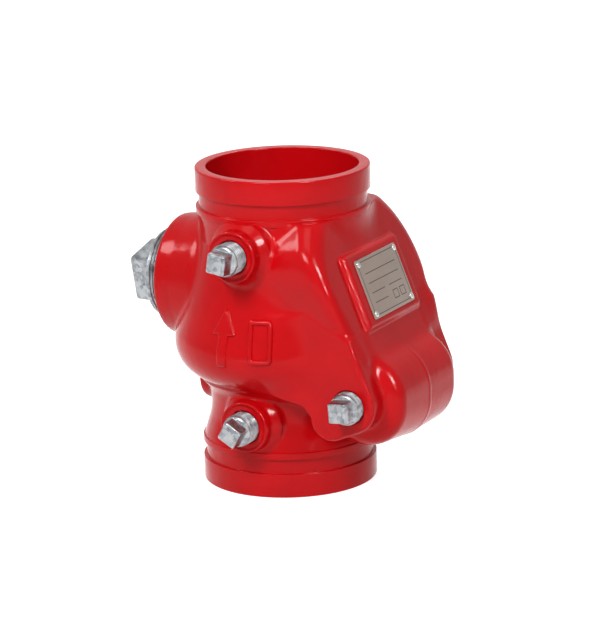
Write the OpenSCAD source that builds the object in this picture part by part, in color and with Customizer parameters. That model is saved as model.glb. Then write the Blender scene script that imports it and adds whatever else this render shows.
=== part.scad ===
// Swing non-return valve for a 4 inch grooved fire main, 209.6 mm end to end.
// Origin: centre of the inlet face. +Z is the flow, +X is the hinge side, -Y carries the gauge plugs.

/* [Grooved ends] */
// Length of the valve from inlet face to outlet face
height = 209.6; // [200:0.1:260]
// Outside diameter of both grooved ends
end_od = 114.3; // [95:0.1:140]
// Wall of the grooved ends
end_wall = 7.35; // [6:0.05:9]
// Width of the land between end face and groove
land_w = 15.88; // [14:0.01:18]
// Width of the coupling groove
groove_w = 9.52; // [8:0.01:11]
// Depth of the coupling groove
groove_d = 2.11; // [1.5:0.01:2.6]

/* [Chamber] */
// Wall of the casting
wall = 7; // [5.5:0.1:9]
// Greatest radius of the bell above the inlet neck
bell_r = 73.6; // [70:0.1:90]
// Height of the middle of the bell's lower round
bell_z = 94.5; // [88:0.5:102]
// Radius of the bell's lower round
bell_round = 24.5; // [20:0.5:28]
// Narrowest outside radius of the outlet neck
waist_r = 55; // [50:0.1:66]
// Height of that waist over the middle of the seat
waist_up = 78.6; // [70:0.1:90]
// Narrowest outside radius of the inlet neck
inlet_waist_r = 50.5; // [47:0.1:60]

/* [Seat] */
// Inside diameter of the seat ring
seat_bore_d = 82; // [68:0.5:88]
// Lean of the seat towards the hinge, in degrees
seat_tilt = 20; // [18:0.5:22]
// Centre of the seat plane along X
seat_x = 4; // [2:0.5:6]
// Centre of the seat plane along Z
seat_z = 84; // [80:0.5:90]
// Radial thickness of the seat ring
seat_ring_t = 4.5; // [4:0.1:6]
// Height of the seat ring
seat_ring_h = 10; // [8:0.5:12]
// Section diameter of the sealing ring under the seat ring
seat_seal_d = 2.6; // [2:0.1:3]

/* [Hinge] */
// Distance from the middle of the seat to the hinge pin, along the seat plane
hinge_reach = 71.6; // [70:0.1:86]
// Height of the hinge pin over the seat plane
hinge_rise = 10; // [9:0.1:12]
// Lean of the clapper pocket from upright, in degrees
pocket_lean = 21.7; // [20:0.1:24]
// Diameter of the hinge pin
pin_d = 12; // [10:0.1:15]
// Wall of the hinge bushings
bushing_t = 2; // [1.5:0.1:2.5]
// Radius of the round hinge boss
lug_r = 18; // [17:0.5:22]
// Distance of the hinge boss faces from the middle plane
lug_y = 60; // [56:0.5:72]
// Half width of the room between the hinge bosses
hinge_room_y = 26.5; // [24:0.5:32]
// Outside radius of the hinge knuckle
knuckle_r = 29.3; // [28:0.1:36]
// How far the knuckle's rounded ends reach past the hinge room's walls
knuckle_end = 9.5; // [1:0.5:12]

/* [Clapper pocket] */
// Outside radius of the round pocket that the open clapper lies in
pocket_r = 69; // [66:0.5:80]
// Distance of the pocket's middle from the hinge pin
pocket_up = 66; // [62:0.5:72]
// Distance of the pocket's outer face from the pin, square to that face
pocket_face = 18.8; // [18.5:0.1:24]
// Edge round of the pocket
pocket_round = 11; // [8:0.5:14]

/* [Clapper] */
// Radius of the clapper disc
disc_r = 50; // [42:0.5:56]
// Thickness of the rubber facing
facing_t = 5; // [4:0.1:6]
// How far the facing stands out of the clapper
facing_proud = 1.5; // [1:0.1:2]
// Width of each hinge arm
arm_w = 12; // [10:0.5:13]
// Outside radius of the arm hubs
hub_r = 11; // [10.5:0.1:13]
// Thickness of the facing retainer
retainer_t = 4; // [3:0.1:5]
// Diameter of the retainer bolt
bolt_d = 10; // [8:0.5:12]

/* [Spring] */
// Diameter of the spring wire
wire_d = 2.6; // [2:0.1:3]
// Number of whole turns
coil_turns = 4; // [3:1:5]

/* [Plugs] */
// Thread diameter of the small plugs
plug_d = 21.3; // [17:0.1:26]
// Square of the small plug heads
plug_square = 14.2; // [12:0.1:15]
// Length of the small plug heads
plug_head = 9; // [8:0.5:12]
// Thread length of the small plugs inside their boss
plug_in = 13.5; // [12:0.5:15]
// Radius of the gauge bosses
gauge_boss_r = 17; // [16:0.5:20]
// Height of the inlet gauge port
gauge_in_z = 48; // [46:0.5:52]
// Distance of the inlet boss face from the flow axis
gauge_in_y = 64.6; // [62:0.1:76]
// Distance of the outlet gauge port below the outlet face
gauge_out_drop = 46.6; // [44:0.1:52]
// Distance of the outlet boss face from the flow axis
gauge_out_y = 74.2; // [70:0.1:84]
// Thread diameter of the drain plug
drain_d = 60.3; // [52:0.1:66]
// Height of the drain port
drain_z = 129.5; // [127:0.5:134]
// Distance of the drain boss face from the flow axis
drain_x = 77; // [75:0.5:90]
// Wall of the drain boss round its thread
drain_wall = 8.8; // [7:0.1:11]
// Square of the drain plug head
drain_square = 32; // [28:0.5:38]
// Length of the drain plug head
drain_head = 19; // [16:0.5:24]

/* [Nameplate] */
// Width of the nameplate
plate_w = 57.1; // [48:0.1:62]
// Height of the nameplate
plate_h = 39.7; // [34:0.1:46]
// Thickness of the nameplate
plate_t = 1; // [0.8:0.1:1.5]
// Border of the raised pad round the nameplate
pad_border = 5.5; // [4:0.5:8]
// Rise of the pad over the pocket
pad_rise = 4; // [3:0.5:6]
// Distance of the plate's middle from the hinge pin
plate_up = 64.8; // [60:0.1:70]

/* [Hidden] */
$fn = 96;

// Clearances
run_gap = 0.05;    // between a turning bushing and the pin, on the radius
press_gap = 0.02;  // between a pressed piece and its bore, on the radius
thread_gap = 0.15; // between a plug and its tapped hole, on the radius
rest_gap = 0.25;   // between pieces of the clapper and what they rest on
side_gap = 0.3;    // beside the arms, on each side

// Ends
end_r = end_od / 2;
bore_r = end_r - end_wall;
neck_top = height - (land_w + groove_w);
waist_z = seat_z + waist_up;
edge_c = 0.9;
bell_c = [bell_r - bell_round, bell_z];

// Seat
seat_bore_r = seat_bore_d / 2;
seat_ring_r = seat_bore_r + seat_ring_t;
seat_tower_r = seat_ring_r + 5.5;
seat_floor = 5;
seat_seal_drop = 7;
bay_r = seat_tower_r + 6;
throat_r = seat_bore_r + 0.5;
throat_drop = 14;

// Hinge, in the frame of the valve
pin_r = pin_d / 2;
pin_x = seat_x + hinge_reach * cos(seat_tilt) + hinge_rise * sin(seat_tilt);
pin_z = seat_z - hinge_reach * sin(seat_tilt) + hinge_rise * cos(seat_tilt);
bushing_r = pin_r + bushing_t;
knuckle_y = hinge_room_y + wall + knuckle_end;
plug_r = plug_d / 2;
pin_half = lug_y - plug_in - 1;
swing = 90 - pocket_lean - seat_tilt;
foot_r = 15;
foot_c = [pin_x - 12.7, pin_z - 7.4];
pocket_depth = 28;   // reach of the pocket's room behind the pin
pocket_trim = 38;    // height over the pin where the pocket runs into the hinge bosses

// Small features of the casting
blank_r = 16;
blank_x = 65;
blank_z = 63;
drain_in = 17.5;
drain_reach = 40;
pad_corner = 3;
rivet_r = 1.3;
pad_z = pocket_face + pad_rise;

// Clapper, in a frame with the pin at the origin and the seat plane level
face_z = rest_gap - hinge_rise;
facing_r = disc_r - 3;
rim_z = face_z + facing_proud;
back_z = face_z + facing_t;
retainer_r = min(seat_bore_r - 5, facing_r - 8);
washer_t = 1.5;
boss_top = pocket_face - wall - 0.3;
arm_out = hinge_room_y - 2.5;
arm_in = arm_out - arm_w;

// Height of the clapper's back at radius r from its middle
function back_at(r) = 3 - 2.6 * max(0, r - 18) / (disc_r - 22);

// Frames
module at_seat() { translate([seat_x, 0, seat_z]) rotate([0, seat_tilt, 0]) children(); }
module at_pin() { translate([pin_x, 0, pin_z]) children(); }
module at_clapper() { at_pin() rotate([0, seat_tilt, 0]) children(); }
module at_pocket() { at_pin() rotate([0, 90 - pocket_lean, 0]) children(); }
module to_front() { rotate([90, 0, 0]) children(); }
module to_rear() { rotate([-90, 0, 0]) children(); }
module gauge_in() { translate([0, -gauge_in_y, gauge_in_z]) to_front() children(); }
module gauge_out() { translate([0, -gauge_out_y, height - gauge_out_drop]) to_front() children(); }
module at_drain() { translate([-drain_x, 0, drain_z]) rotate([0, -90, 0]) children(); }
module at_lug(side) { at_pin() translate([0, side * lug_y, 0]) rotate([-90 * side, 0, 0]) children(); }

// Point where a line from p touches the circle of radius r round c, on the right-hand side
function touch(p, c, r) =
    let (d = p - c, a = atan2(d[1], d[0]) - acos(r / norm(d)))
    c + r * [cos(a), sin(a)];
function polar(c, r, a) = c + r * [cos(a), sin(a)];

// Ring with a rectangular section, standing on z = z0
module ring(r_out, r_in, z0, z1) {
    translate([0, 0, z0]) difference() {
        cylinder(r = r_out, h = z1 - z0);
        translate([0, 0, -1]) cylinder(r = r_in, h = z1 - z0 + 2);
    }
}

// Edge of one grooved end, from its face to just past the groove
function end_edge() =
    let (root = end_r - groove_d, far = land_w + groove_w)
    [[end_r - edge_c, 0], [end_r, edge_c], [end_r, land_w - 0.6], [end_r - 0.6, land_w],
        [root, land_w], [root, far], [end_r - 0.6, far], [end_r, far + 0.6]];
function from_top(points) = [for (i = [len(points) - 1:-1:0]) [points[i][0], height - points[i][1]]];

// Outside section, from the inlet face over the necks and the bell to the outlet face
module shell_section() {
    top = [waist_r, waist_z];
    polygon(concat([[0, 0]], end_edge(),
        [[end_r - 1, land_w + groove_w + 4], [inlet_waist_r + 1.2, 45], [inlet_waist_r, 54],
            [inlet_waist_r + 1.5, 61], [bell_c[0] + 4, bell_z - bell_round + 1], bell_c,
            touch(top, bell_c, bell_round), top, [waist_r, neck_top - 14], [end_r - 0.8, neck_top - 5]],
        from_top(end_edge()), [[0, height]]));
    translate(bell_c) circle(r = bell_round);
}

// Inside section of the chamber and the outlet bore
module chamber_section() {
    top = [waist_r - wall, waist_z];
    round_r = bell_round - wall;
    polygon([[0, bell_z - round_r], [bell_c[0], bell_z - round_r], bell_c,
        touch(top, bell_c, round_r), top, [waist_r - wall, neck_top - 10], [bore_r, neck_top],
        [bore_r, height + 1], [0, height + 1]]);
    translate(bell_c) circle(r = round_r);
}

// Outline of the hinge lugs seen along the pin
module lug_outline() {
    n = [cos(pocket_lean), sin(pocket_lean)];
    d = [-sin(pocket_lean), cos(pocket_lean)];
    pin = [pin_x, pin_z];
    under = foot_c[0] - seat_x;
    low = atan2(pin[1] - foot_c[1], pin[0] - foot_c[0]) - acos((foot_r - lug_r) / norm(pin - foot_c));
    polygon([[seat_x - 4, seat_z + 34], [seat_x - 4, seat_z - 7], [seat_x + 0.14 * under, seat_z - 12],
        [seat_x + 0.42 * under, seat_z - 18], [seat_x + 0.62 * under, seat_z - 24.5],
        polar(foot_c, foot_r, 220), foot_c, polar(foot_c, foot_r, low), polar(pin, lug_r, low), pin,
        pin + lug_r * n, pin + lug_r * n + (pocket_up + 8) * d]);
    translate(foot_c) circle(r = foot_r);
    translate(pin) circle(r = lug_r);
}

module hinge_lugs() {
    translate([0, lug_y, 0]) to_front() linear_extrude(2 * lug_y) lug_outline();
}

// Round knuckle over the hinge, with rounded ends
module knuckle() {
    r = 9;
    at_pin() to_front() rotate_extrude() {
        translate([0, -knuckle_y]) square([knuckle_r - r, 2 * knuckle_y]);
        translate([0, r - knuckle_y]) square([knuckle_r, 2 * (knuckle_y - r)]);
        for (side = [-1, 1]) translate([knuckle_r - r, side * (knuckle_y - r)]) circle(r = r);
    }
}

// Round pocket over the open clapper, kept clear of the grooved end
module pocket() {
    deep = pocket_depth + 12;
    intersection() {
        at_pocket() translate([-pocket_up, 0, 0]) rotate_extrude() {
            translate([0, -deep]) square([pocket_r - pocket_round, deep + pocket_face]);
            translate([0, -deep]) square([pocket_r, deep + pocket_face - pocket_round]);
            translate([pocket_r - pocket_round, pocket_face - pocket_round]) circle(r = pocket_round);
        }
        at_pocket() translate([-2.4 * pocket_r, -100, -60])
            cube([2.4 * pocket_r - pocket_trim, 200, 100]);
        translate([-50, -100, 0]) cube([200, 200, neck_top - 0.8]);
    }
}

// Flat outline h by w with corners of radius r
module round_plate(h, w, r) {
    square([h - 2 * r, w], center = true);
    square([h, w - 2 * r], center = true);
    for (i = [-1, 1], j = [-1, 1]) translate([i * (h / 2 - r), j * (w / 2 - r)]) circle(r = r);
}

module nameplate_pad() {
    w = plate_w + 2 * pad_border + 7;
    h = plate_h + 2 * pad_border;
    at_pocket() translate([-plate_up, 0, 4]) linear_extrude(pad_z - 4) round_plate(h, w, pad_corner);
}

// Round boss with a flared foot; its face is at z = 0 and it reaches back by len
module boss(r, foot, len) {
    rotate_extrude() polygon([[0, 0], [r - 2, 0], [r - 0.5, -0.7], [r, -2.2], [r + 0.3, -7],
        [foot - 1.6, -12], [foot, -15], [foot, -len], [0, -len]]);
}

module drain_boss() {
    r = drain_d / 2 + drain_wall;
    at_drain() rotate_extrude() polygon([[0, 0], [r - 4.5, 0], [r - 1.5, -1.2], [r, -4.5],
        [r + 2.5, -16], [r + 5, -24], [r + 5, -44], [0, -44]]);
}

// Plain cast boss on the inlet neck under the drain
module blank_boss() {
    translate([-blank_x, 0, blank_z]) rotate([0, -90, 0]) boss(blank_r, blank_r + 1.5, 20);
}

module outside() {
    rotate_extrude() shell_section();
    hinge_lugs();
    knuckle();
    pocket();
    nameplate_pad();
    drain_boss();
    blank_boss();
    gauge_in() boss(gauge_boss_r, gauge_boss_r + 4.5, 24);
    gauge_out() boss(gauge_boss_r, gauge_boss_r + 4.5, 30);
}

// Room inside the casting above the seat, with the seat tower and the hinge bosses left standing
module chamber() {
    difference() {
        union() {
            rotate_extrude() chamber_section();
            at_seat() translate([0, 0, -seat_floor]) cylinder(r = bay_r, h = 30);
            at_pin() to_front() cylinder(r = knuckle_r - wall, h = 2 * hinge_room_y, center = true);
            at_clapper() translate([disc_r - hinge_reach, -arm_out - 1, -hub_r])
                cube([hinge_reach - disc_r, 2 * arm_out + 2, 2 * hub_r]);
            intersection() {
                at_pocket() translate([-pocket_up, 0, -pocket_depth])
                    cylinder(r = pocket_r - wall, h = pocket_depth + pocket_face - wall);
                translate([-50, -100, 0]) cube([200, 200, neck_top - 3]);
            }
        }
        at_seat() translate([0, 0, -60]) cylinder(r = seat_tower_r, h = 60 - 2.5);
        for (side = [-1, 1]) at_pin() rotate([-90 * side, 0, 0])
            translate([0, 0, hinge_room_y]) cylinder(r = lug_r, h = lug_y - hinge_room_y);
    }
}

// Waterway from the inlet face up to the seat ring
module throat() {
    intersection() {
        rotate_extrude() polygon([[0, -1], [bore_r, -1], [bore_r, 14], [throat_r, 48],
            [throat_r, 120], [0, 120]]);
        at_seat() translate([-120, -120, -200]) cube([240, 240, 200 - throat_drop]);
    }
    at_seat() translate([0, 0, -throat_drop - 0.5]) cylinder(r = seat_bore_r, h = throat_drop);
    at_seat() translate([0, 0, -seat_ring_h]) cylinder(r = seat_ring_r + press_gap, h = 40);
}

module gauge_port(tapped, depth) {
    translate([0, 0, -tapped]) cylinder(r = plug_r + thread_gap, h = tapped + 1);
    translate([0, 0, -depth]) cylinder(r = plug_r - 2, h = depth);
}

module hinge_bore() {
    for (side = [-1, 1]) at_lug(side) {
        translate([0, 0, -plug_in - 0.5]) cylinder(r = plug_r + thread_gap, h = plug_in + 1.5);
        translate([0, 0, hinge_room_y - lug_y - 1])
            cylinder(r = bushing_r + press_gap, h = lug_y - hinge_room_y);
    }
}

module rivet_places() {
    inset = 3.1;
    at_pocket() for (i = [-1, 1], j = [-1, 1])
        translate([-plate_up + i * (plate_h / 2 - inset), j * (plate_w / 2 - inset), 0]) children();
}

module body() {
    color("firebrick") difference() {
        outside();
        chamber();
        throat();
        hinge_bore();
        gauge_in() gauge_port(plug_in, gauge_in_y - throat_r + 10);
        gauge_out() gauge_port(plug_in, gauge_out_y - waist_r + wall + 10);
        at_drain() translate([0, 0, -drain_in - 0.5])
            cylinder(r = drain_d / 2 + thread_gap, h = drain_in + 1.5);
        at_drain() translate([0, 0, -drain_reach]) cylinder(r = drain_d / 2 - 4, h = drain_reach);
        rivet_places() translate([0, 0, pad_z - 5]) cylinder(r = rivet_r, h = 6);
    }
}

// Pressed seat ring with a raised seating bead
module seat_ring() {
    seal_r = seat_seal_d / 2;
    color("darkkhaki") at_seat() difference() {
        rotate_extrude() polygon([[seat_bore_r, -seat_ring_h + press_gap],
            [seat_ring_r, -seat_ring_h + press_gap], [seat_ring_r, -1.6], [seat_ring_r - 0.8, -0.6],
            [seat_ring_r - 1.6, 0], [seat_bore_r + 0.9, 0], [seat_bore_r, -0.9]]);
        rotate_extrude() translate([seat_ring_r - seal_r, -seat_seal_drop - seal_r - 0.1])
            square([seat_seal_d, seat_seal_d + 0.2]);
    }
}

// Round rubber ring, squeezed flat between its groove and the casting
module seat_seal() {
    squeezed = seat_seal_d / 2 - press_gap;
    color("dimgray") at_seat() translate([0, 0, -seat_seal_drop]) rotate_extrude()
        translate([seat_ring_r - squeezed / 2, 0]) intersection() {
            circle(d = seat_seal_d);
            square([squeezed, seat_seal_d], center = true);
        }
}

// Side view of one hinge arm, drawn with x towards the hinge
module arm_outline() {
    circle(r = hub_r);
    polygon([[0, hub_r - 0.1], [-hinge_reach + 30, 7], [-hinge_reach + 8, 3.6],
        [-hinge_reach + 8, back_z + 1], [-hinge_reach + facing_r + 0.4, back_z + 1],
        [-hinge_reach + disc_r - 1, rim_z + 1],
        [-hub_r * 0.7, -hub_r * 0.7], [0, 0]]);
}

module clapper() {
    color("slategray") at_clapper() difference() {
        union() {
            translate([-hinge_reach, 0, 0]) rotate_extrude() polygon([[0, back_z],
                [facing_r + 0.2, back_z], [facing_r + 0.2, rim_z], [disc_r - 0.6, rim_z],
                [disc_r, rim_z + 0.6], [disc_r, -3.2], [disc_r - 4, back_at(disc_r - 4)],
                [18, back_at(18)], [15, 4.2], [13, 7], [12.4, boss_top - 0.8],
                [11.6, boss_top], [0, boss_top]]);
            for (side = [-1, 1]) translate([0, side * (arm_in + arm_w / 2), 0])
                to_front() linear_extrude(arm_w, center = true) arm_outline();
        }
        to_front() cylinder(r = bushing_r + press_gap, h = 4 * arm_out, center = true);
        translate([-hinge_reach, 0, back_z - 1])
            cylinder(r = bolt_d / 2 + 0.1, h = boss_top - back_z - 3);
    }
}

module clapper_facing() {
    color("dimgray") at_clapper() translate([-hinge_reach, 0, 0])
        ring(facing_r, bolt_d / 2 + 0.6, face_z, back_z - press_gap);
}

module facing_retainer() {
    color("lightsteelblue") at_clapper() translate([-hinge_reach, 0, face_z - press_gap]) difference() {
        rotate_extrude() polygon([[0, 0], [retainer_r, 0], [retainer_r, 1 - retainer_t],
            [retainer_r - 1, -retainer_t], [0, -retainer_t]]);
        translate([0, 0, -retainer_t - 1]) cylinder(r = bolt_d / 2 + 0.3, h = retainer_t + 2);
    }
}

module retainer_washer() {
    top = face_z - retainer_t - 2 * press_gap;
    color("silver") at_clapper() translate([-hinge_reach, 0, 0])
        ring(bolt_d * 1.1, bolt_d / 2 + 0.25, top - washer_t, top);
}

module retainer_bolt() {
    head_h = 0.64 * bolt_d;
    head_z = face_z - retainer_t - washer_t - 3 * press_gap;
    color("silver") at_clapper() translate([-hinge_reach, 0, 0]) {
        translate([0, 0, head_z - head_h]) intersection() {
            cylinder(r = bolt_d * 0.98, h = head_h, $fn = 6);
            cylinder(r1 = bolt_d * 0.86, r2 = bolt_d * 0.86 + head_h * 1.7, h = head_h);
        }
        translate([0, 0, head_z - 0.5]) cylinder(r = bolt_d / 2, h = boss_top - 3.5 - head_z);
    }
}

// Bushing or spacer round the pin, between two distances from the middle plane
module pin_sleeve(side, r_out, r_in, from, to) {
    rotate([-90 * side, 0, 0]) ring(r_out, r_in, from, to);
}

module arm_bushing(side) {
    color("peru") at_clapper() pin_sleeve(side, bushing_r, pin_r + run_gap, arm_in, arm_out);
}

module arm_bushing_front() { arm_bushing(-1); }
module arm_bushing_rear() { arm_bushing(1); }

module hinge_spacer(side) {
    color("khaki") at_pin()
        pin_sleeve(side, hub_r - 1, pin_r + run_gap, arm_out + side_gap, hinge_room_y - side_gap);
}

module hinge_spacer_front() { hinge_spacer(-1); }
module hinge_spacer_rear() { hinge_spacer(1); }

module hinge_pin() {
    color("silver") at_pin() to_front() {
        translate([0, 0, 1 - pin_half]) cylinder(r = pin_r, h = 2 * pin_half - 2);
        for (side = [0, 180]) rotate([side, 0, 0]) translate([0, 0, pin_half - 1])
            cylinder(r1 = pin_r, r2 = pin_r - 1, h = 1);
    }
}

module pin_bushing(side) {
    color("peru") at_pin() pin_sleeve(side, bushing_r, pin_r + press_gap, hinge_room_y, pin_half);
}

module pin_bushing_front() { pin_bushing(-1); }
module pin_bushing_rear() { pin_bushing(1); }

// Torsion spring: one leg lies on the pocket wall, the coil turns round the pin, and a bent leg
// lies on the back of the clapper. Angles run in the plane square to the pin, from +x to +z.
coil_r = pocket_face - wall - wire_d / 2 - rest_gap;
coil_pitch = wire_d + 0.5;
leg_len = 30;
rest_reach = hinge_reach - disc_r + 12.4;
wall_angle = 90 - swing;
leave_angle = 215;
coil_sweep = 360 * coil_turns + 360 - leave_angle + wall_angle;
coil_steps = 5 * floor(coil_sweep / 90);
coil_half = coil_pitch * coil_sweep / 720;
lift = coil_r * [cos(leave_angle), sin(leave_angle)];
rise_dir = [sin(leave_angle), -cos(leave_angle)];
lie_z = back_at(hinge_reach - rest_reach) + rest_gap + wire_d / 2;
rise_len = (lie_z - lift[1]) / rise_dir[1];
bend = lift + rise_len * rise_dir;
function at_y(p, y) = [p[0], y, p[1]];
function coil_point(t) =
    let (a = wall_angle - t * coil_sweep)
    at_y(coil_r * [cos(a), sin(a)], coil_half * (2 * t - 1));
spring_path = concat(
    [for (k = [1, 0.5]) at_y(coil_r * [cos(wall_angle), sin(wall_angle)]
        + k * leg_len * [-sin(wall_angle), cos(wall_angle)], -coil_half)],
    [for (i = [0:coil_steps]) coil_point(i / coil_steps)],
    [at_y(bend - 1.6 * rise_dir, coil_half), at_y(bend + [-0.6, -0.2], coil_half),
        at_y(bend + [-2.4, 0], coil_half), at_y([-rest_reach, lie_z], coil_half)]);

// Tube of radius r with s sides along a path that winds round the y axis
module wire(path, r, s) {
    n = len(path);
    rings = [for (i = [0:n - 1])
        let (t = path[min(i + 1, n - 1)] - path[max(i - 1, 0)],
            u = cross(t, [0, 1, 0]) / norm(cross(t, [0, 1, 0])),
            v = cross(u, t) / norm(t))
        for (k = [0:s - 1]) path[i] + r * (cos(360 * k / s) * u + sin(360 * k / s) * v)];
    sides = [for (i = [0:n - 2], k = [0:s - 1])
        [i * s + k, i * s + (k + 1) % s, (i + 1) * s + (k + 1) % s, (i + 1) * s + k]];
    ends = [[for (k = [s - 1:-1:0]) k], [for (k = [0:s - 1]) (n - 1) * s + k]];
    polyhedron(rings, concat(sides, ends));
}

module closing_spring() {
    color("gainsboro") at_clapper() wire(spring_path, wire_d / 2, 8);
}

// Square-headed pipe plug; the boss face is at z = 0 and the head points along +z
module pipe_plug(r, inside, stand, square_w, head_h, turn) {
    translate([0, 0, -inside]) cylinder(r1 = r - 1, r2 = r, h = 1);
    translate([0, 0, 1 - inside]) cylinder(r = r, h = inside + stand - 3);
    translate([0, 0, stand - 2]) cylinder(r1 = r, r2 = r - 1.6, h = 2);
    translate([0, 0, stand - 0.5]) rotate([0, 0, turn]) intersection() {
        translate([-square_w / 2, -square_w / 2, 0]) cube([square_w, square_w, head_h + 0.5]);
        cylinder(r1 = square_w * 0.69 + head_h * 0.5, r2 = square_w * 0.66, h = head_h + 0.5);
    }
}

module small_plug(stand, turn) {
    color("silver") pipe_plug(plug_r, plug_in - 0.5, stand, plug_square, plug_head, turn);
}

module hinge_plug_front() { at_lug(-1) small_plug(7, 4); }
module hinge_plug_rear() { at_lug(1) small_plug(7, 22); }
module gauge_plug_inlet() { gauge_in() small_plug(9.3, 37); }
module gauge_plug_outlet() { gauge_out() small_plug(9.9, -14); }

module drain_plug() {
    color("silver") at_drain() pipe_plug(drain_d / 2, drain_in, 10.7, drain_square, drain_head, -13);
}

module nameplate() {
    color("tan") difference() {
        at_pocket() translate([-plate_up, 0, pad_z + press_gap]) linear_extrude(plate_t)
            round_plate(plate_h, plate_w, 1.5);
        rivet_places() translate([0, 0, pocket_face]) cylinder(r = rivet_r, h = 20);
    }
}

// Drive rivets: a shank in the pad and a domed head on the plate
module nameplate_rivets() {
    top = pad_z + plate_t + 2 * press_gap;
    color("gainsboro") rivet_places() {
        translate([0, 0, top - 5]) cylinder(r = rivet_r - thread_gap / 3, h = 5.2);
        translate([0, 0, top]) intersection() {
            cylinder(r = 2.1, h = 1.1);
            translate([0, 0, -1.6]) sphere(r = 2.7);
        }
    }
}

body();
seat_ring();
seat_seal();
clapper();
clapper_facing();
facing_retainer();
retainer_washer();
retainer_bolt();
arm_bushing_front();
arm_bushing_rear();
hinge_spacer_front();
hinge_spacer_rear();
hinge_pin();
pin_bushing_front();
pin_bushing_rear();
closing_spring();
hinge_plug_front();
hinge_plug_rear();
gauge_plug_inlet();
gauge_plug_outlet();
drain_plug();
nameplate();
nameplate_rivets();
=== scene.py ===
"""Swing non-return valve for a 4 inch fire main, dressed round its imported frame.

Sizes inside the classes are in millimetres, in the frame's own axes: Z is the flow, X the hinge
side, and the gauge ports point along -Y. Meshes are made in metres, where the frame says.
"""

from __future__ import annotations

import logging
import math
from dataclasses import dataclass, field
from enum import Enum
from typing import Any, Callable, Sequence

import bpy
import numpy as np
from mathutils import Matrix, Vector


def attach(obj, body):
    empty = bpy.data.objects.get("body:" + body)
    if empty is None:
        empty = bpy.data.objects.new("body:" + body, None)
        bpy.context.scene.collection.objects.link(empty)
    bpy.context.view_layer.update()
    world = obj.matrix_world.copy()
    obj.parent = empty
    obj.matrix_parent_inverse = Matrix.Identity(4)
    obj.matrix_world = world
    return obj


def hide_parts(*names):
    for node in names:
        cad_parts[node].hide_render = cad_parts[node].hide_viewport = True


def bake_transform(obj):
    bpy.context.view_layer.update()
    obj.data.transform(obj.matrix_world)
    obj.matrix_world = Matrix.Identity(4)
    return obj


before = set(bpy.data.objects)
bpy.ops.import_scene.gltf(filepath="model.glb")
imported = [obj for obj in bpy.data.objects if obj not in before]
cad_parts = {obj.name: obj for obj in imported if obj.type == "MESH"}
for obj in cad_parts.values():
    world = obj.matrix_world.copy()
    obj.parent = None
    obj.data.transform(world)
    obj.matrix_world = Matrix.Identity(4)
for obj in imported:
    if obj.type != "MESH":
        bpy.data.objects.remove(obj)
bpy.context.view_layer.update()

LOG = logging.getLogger("valve")
MM = 0.001
METRE = 1000.0
HOUSING = "valve_body"
SWINGING = "clapper_assembly"

Array = np.ndarray
Point = tuple[float, float]
Faces = list[tuple[int, ...]]
Links = dict[Any, Any]
Distance = Callable[[Array, Array, Array], Array]

SHARP_ANGLE = 34.0  # degrees between two faces, above which their edge stays sharp
SHADE_REACH = 0.45  # millimetres over which a casting's shading is measured
RING = 96  # points round a plug


# Distances to solids: negative inside the metal, in millimetres


def join(a: Array, b: Array, k: float) -> Array:
    """Union of two distances with a cast fillet.

    Args:
        a: First distance.
        b: Second distance.
        k: Width of the fillet; its radius is about 0.85 of that.

    Returns:
        The joined distance.
    """
    h = np.maximum(k - np.abs(a - b), 0.0) / k
    return np.minimum(a, b) - h * h * k * 0.25


def meet(a: Array, b: Array, k: float) -> Array:
    """Intersection of two distances, with the edge rounded over a width k."""
    return -join(-a, -b, k)


def rounded(a: Array, b: Array, r: float) -> Array:
    """Intersection of two distances, with a true round of radius r on the edge."""
    u, v = a + r, b + r
    return np.hypot(np.maximum(u, 0), np.maximum(v, 0)) + np.minimum(np.maximum(u, v), 0) - r


def cos_sin(degrees: float) -> Point:
    """Cosine and sine of an angle given in degrees."""
    return math.cos(math.radians(degrees)), math.sin(math.radians(degrees))


def arc(centre: Point, r: float, start: float, stop: float, count: int = 24) -> list[Point]:
    """Points along an arc, with the angles in degrees."""
    angles = np.radians(np.linspace(start, stop, count))
    return [(centre[0] + r * math.cos(a), centre[1] + r * math.sin(a)) for a in angles]


def flowing(points: Sequence[Point], count: int = 8) -> list[Point]:
    """Smooth curve through points.

    Args:
        points: Places that the curve passes through.
        count: Pieces between two neighbours.

    Returns:
        The points of the curve, ends included.
    """
    p = np.array([points[0], *points, points[-1]], float)
    out: list[Point] = []
    for i in range(1, len(p) - 2):
        a, b, c, d = p[i - 1 : i + 3]
        bend, twist = 2 * a - 5 * b + 4 * c - d, 3 * b - a - 3 * c + d
        for t in np.linspace(0, 1, count, endpoint=False):
            q = 0.5 * (2 * b + (c - a) * t + bend * t**2 + twist * t**3)
            out.append((float(q[0]), float(q[1])))
    out.append((float(p[-1][0]), float(p[-1][1])))
    return out


def touch(p: Point, centre: Point, r: float) -> float:
    """Angle, in degrees, at which a line from p touches a circle on its right-hand side."""
    dx, dy = p[0] - centre[0], p[1] - centre[1]
    return math.degrees(math.atan2(dy, dx) - math.acos(r / math.hypot(dx, dy)))


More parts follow.
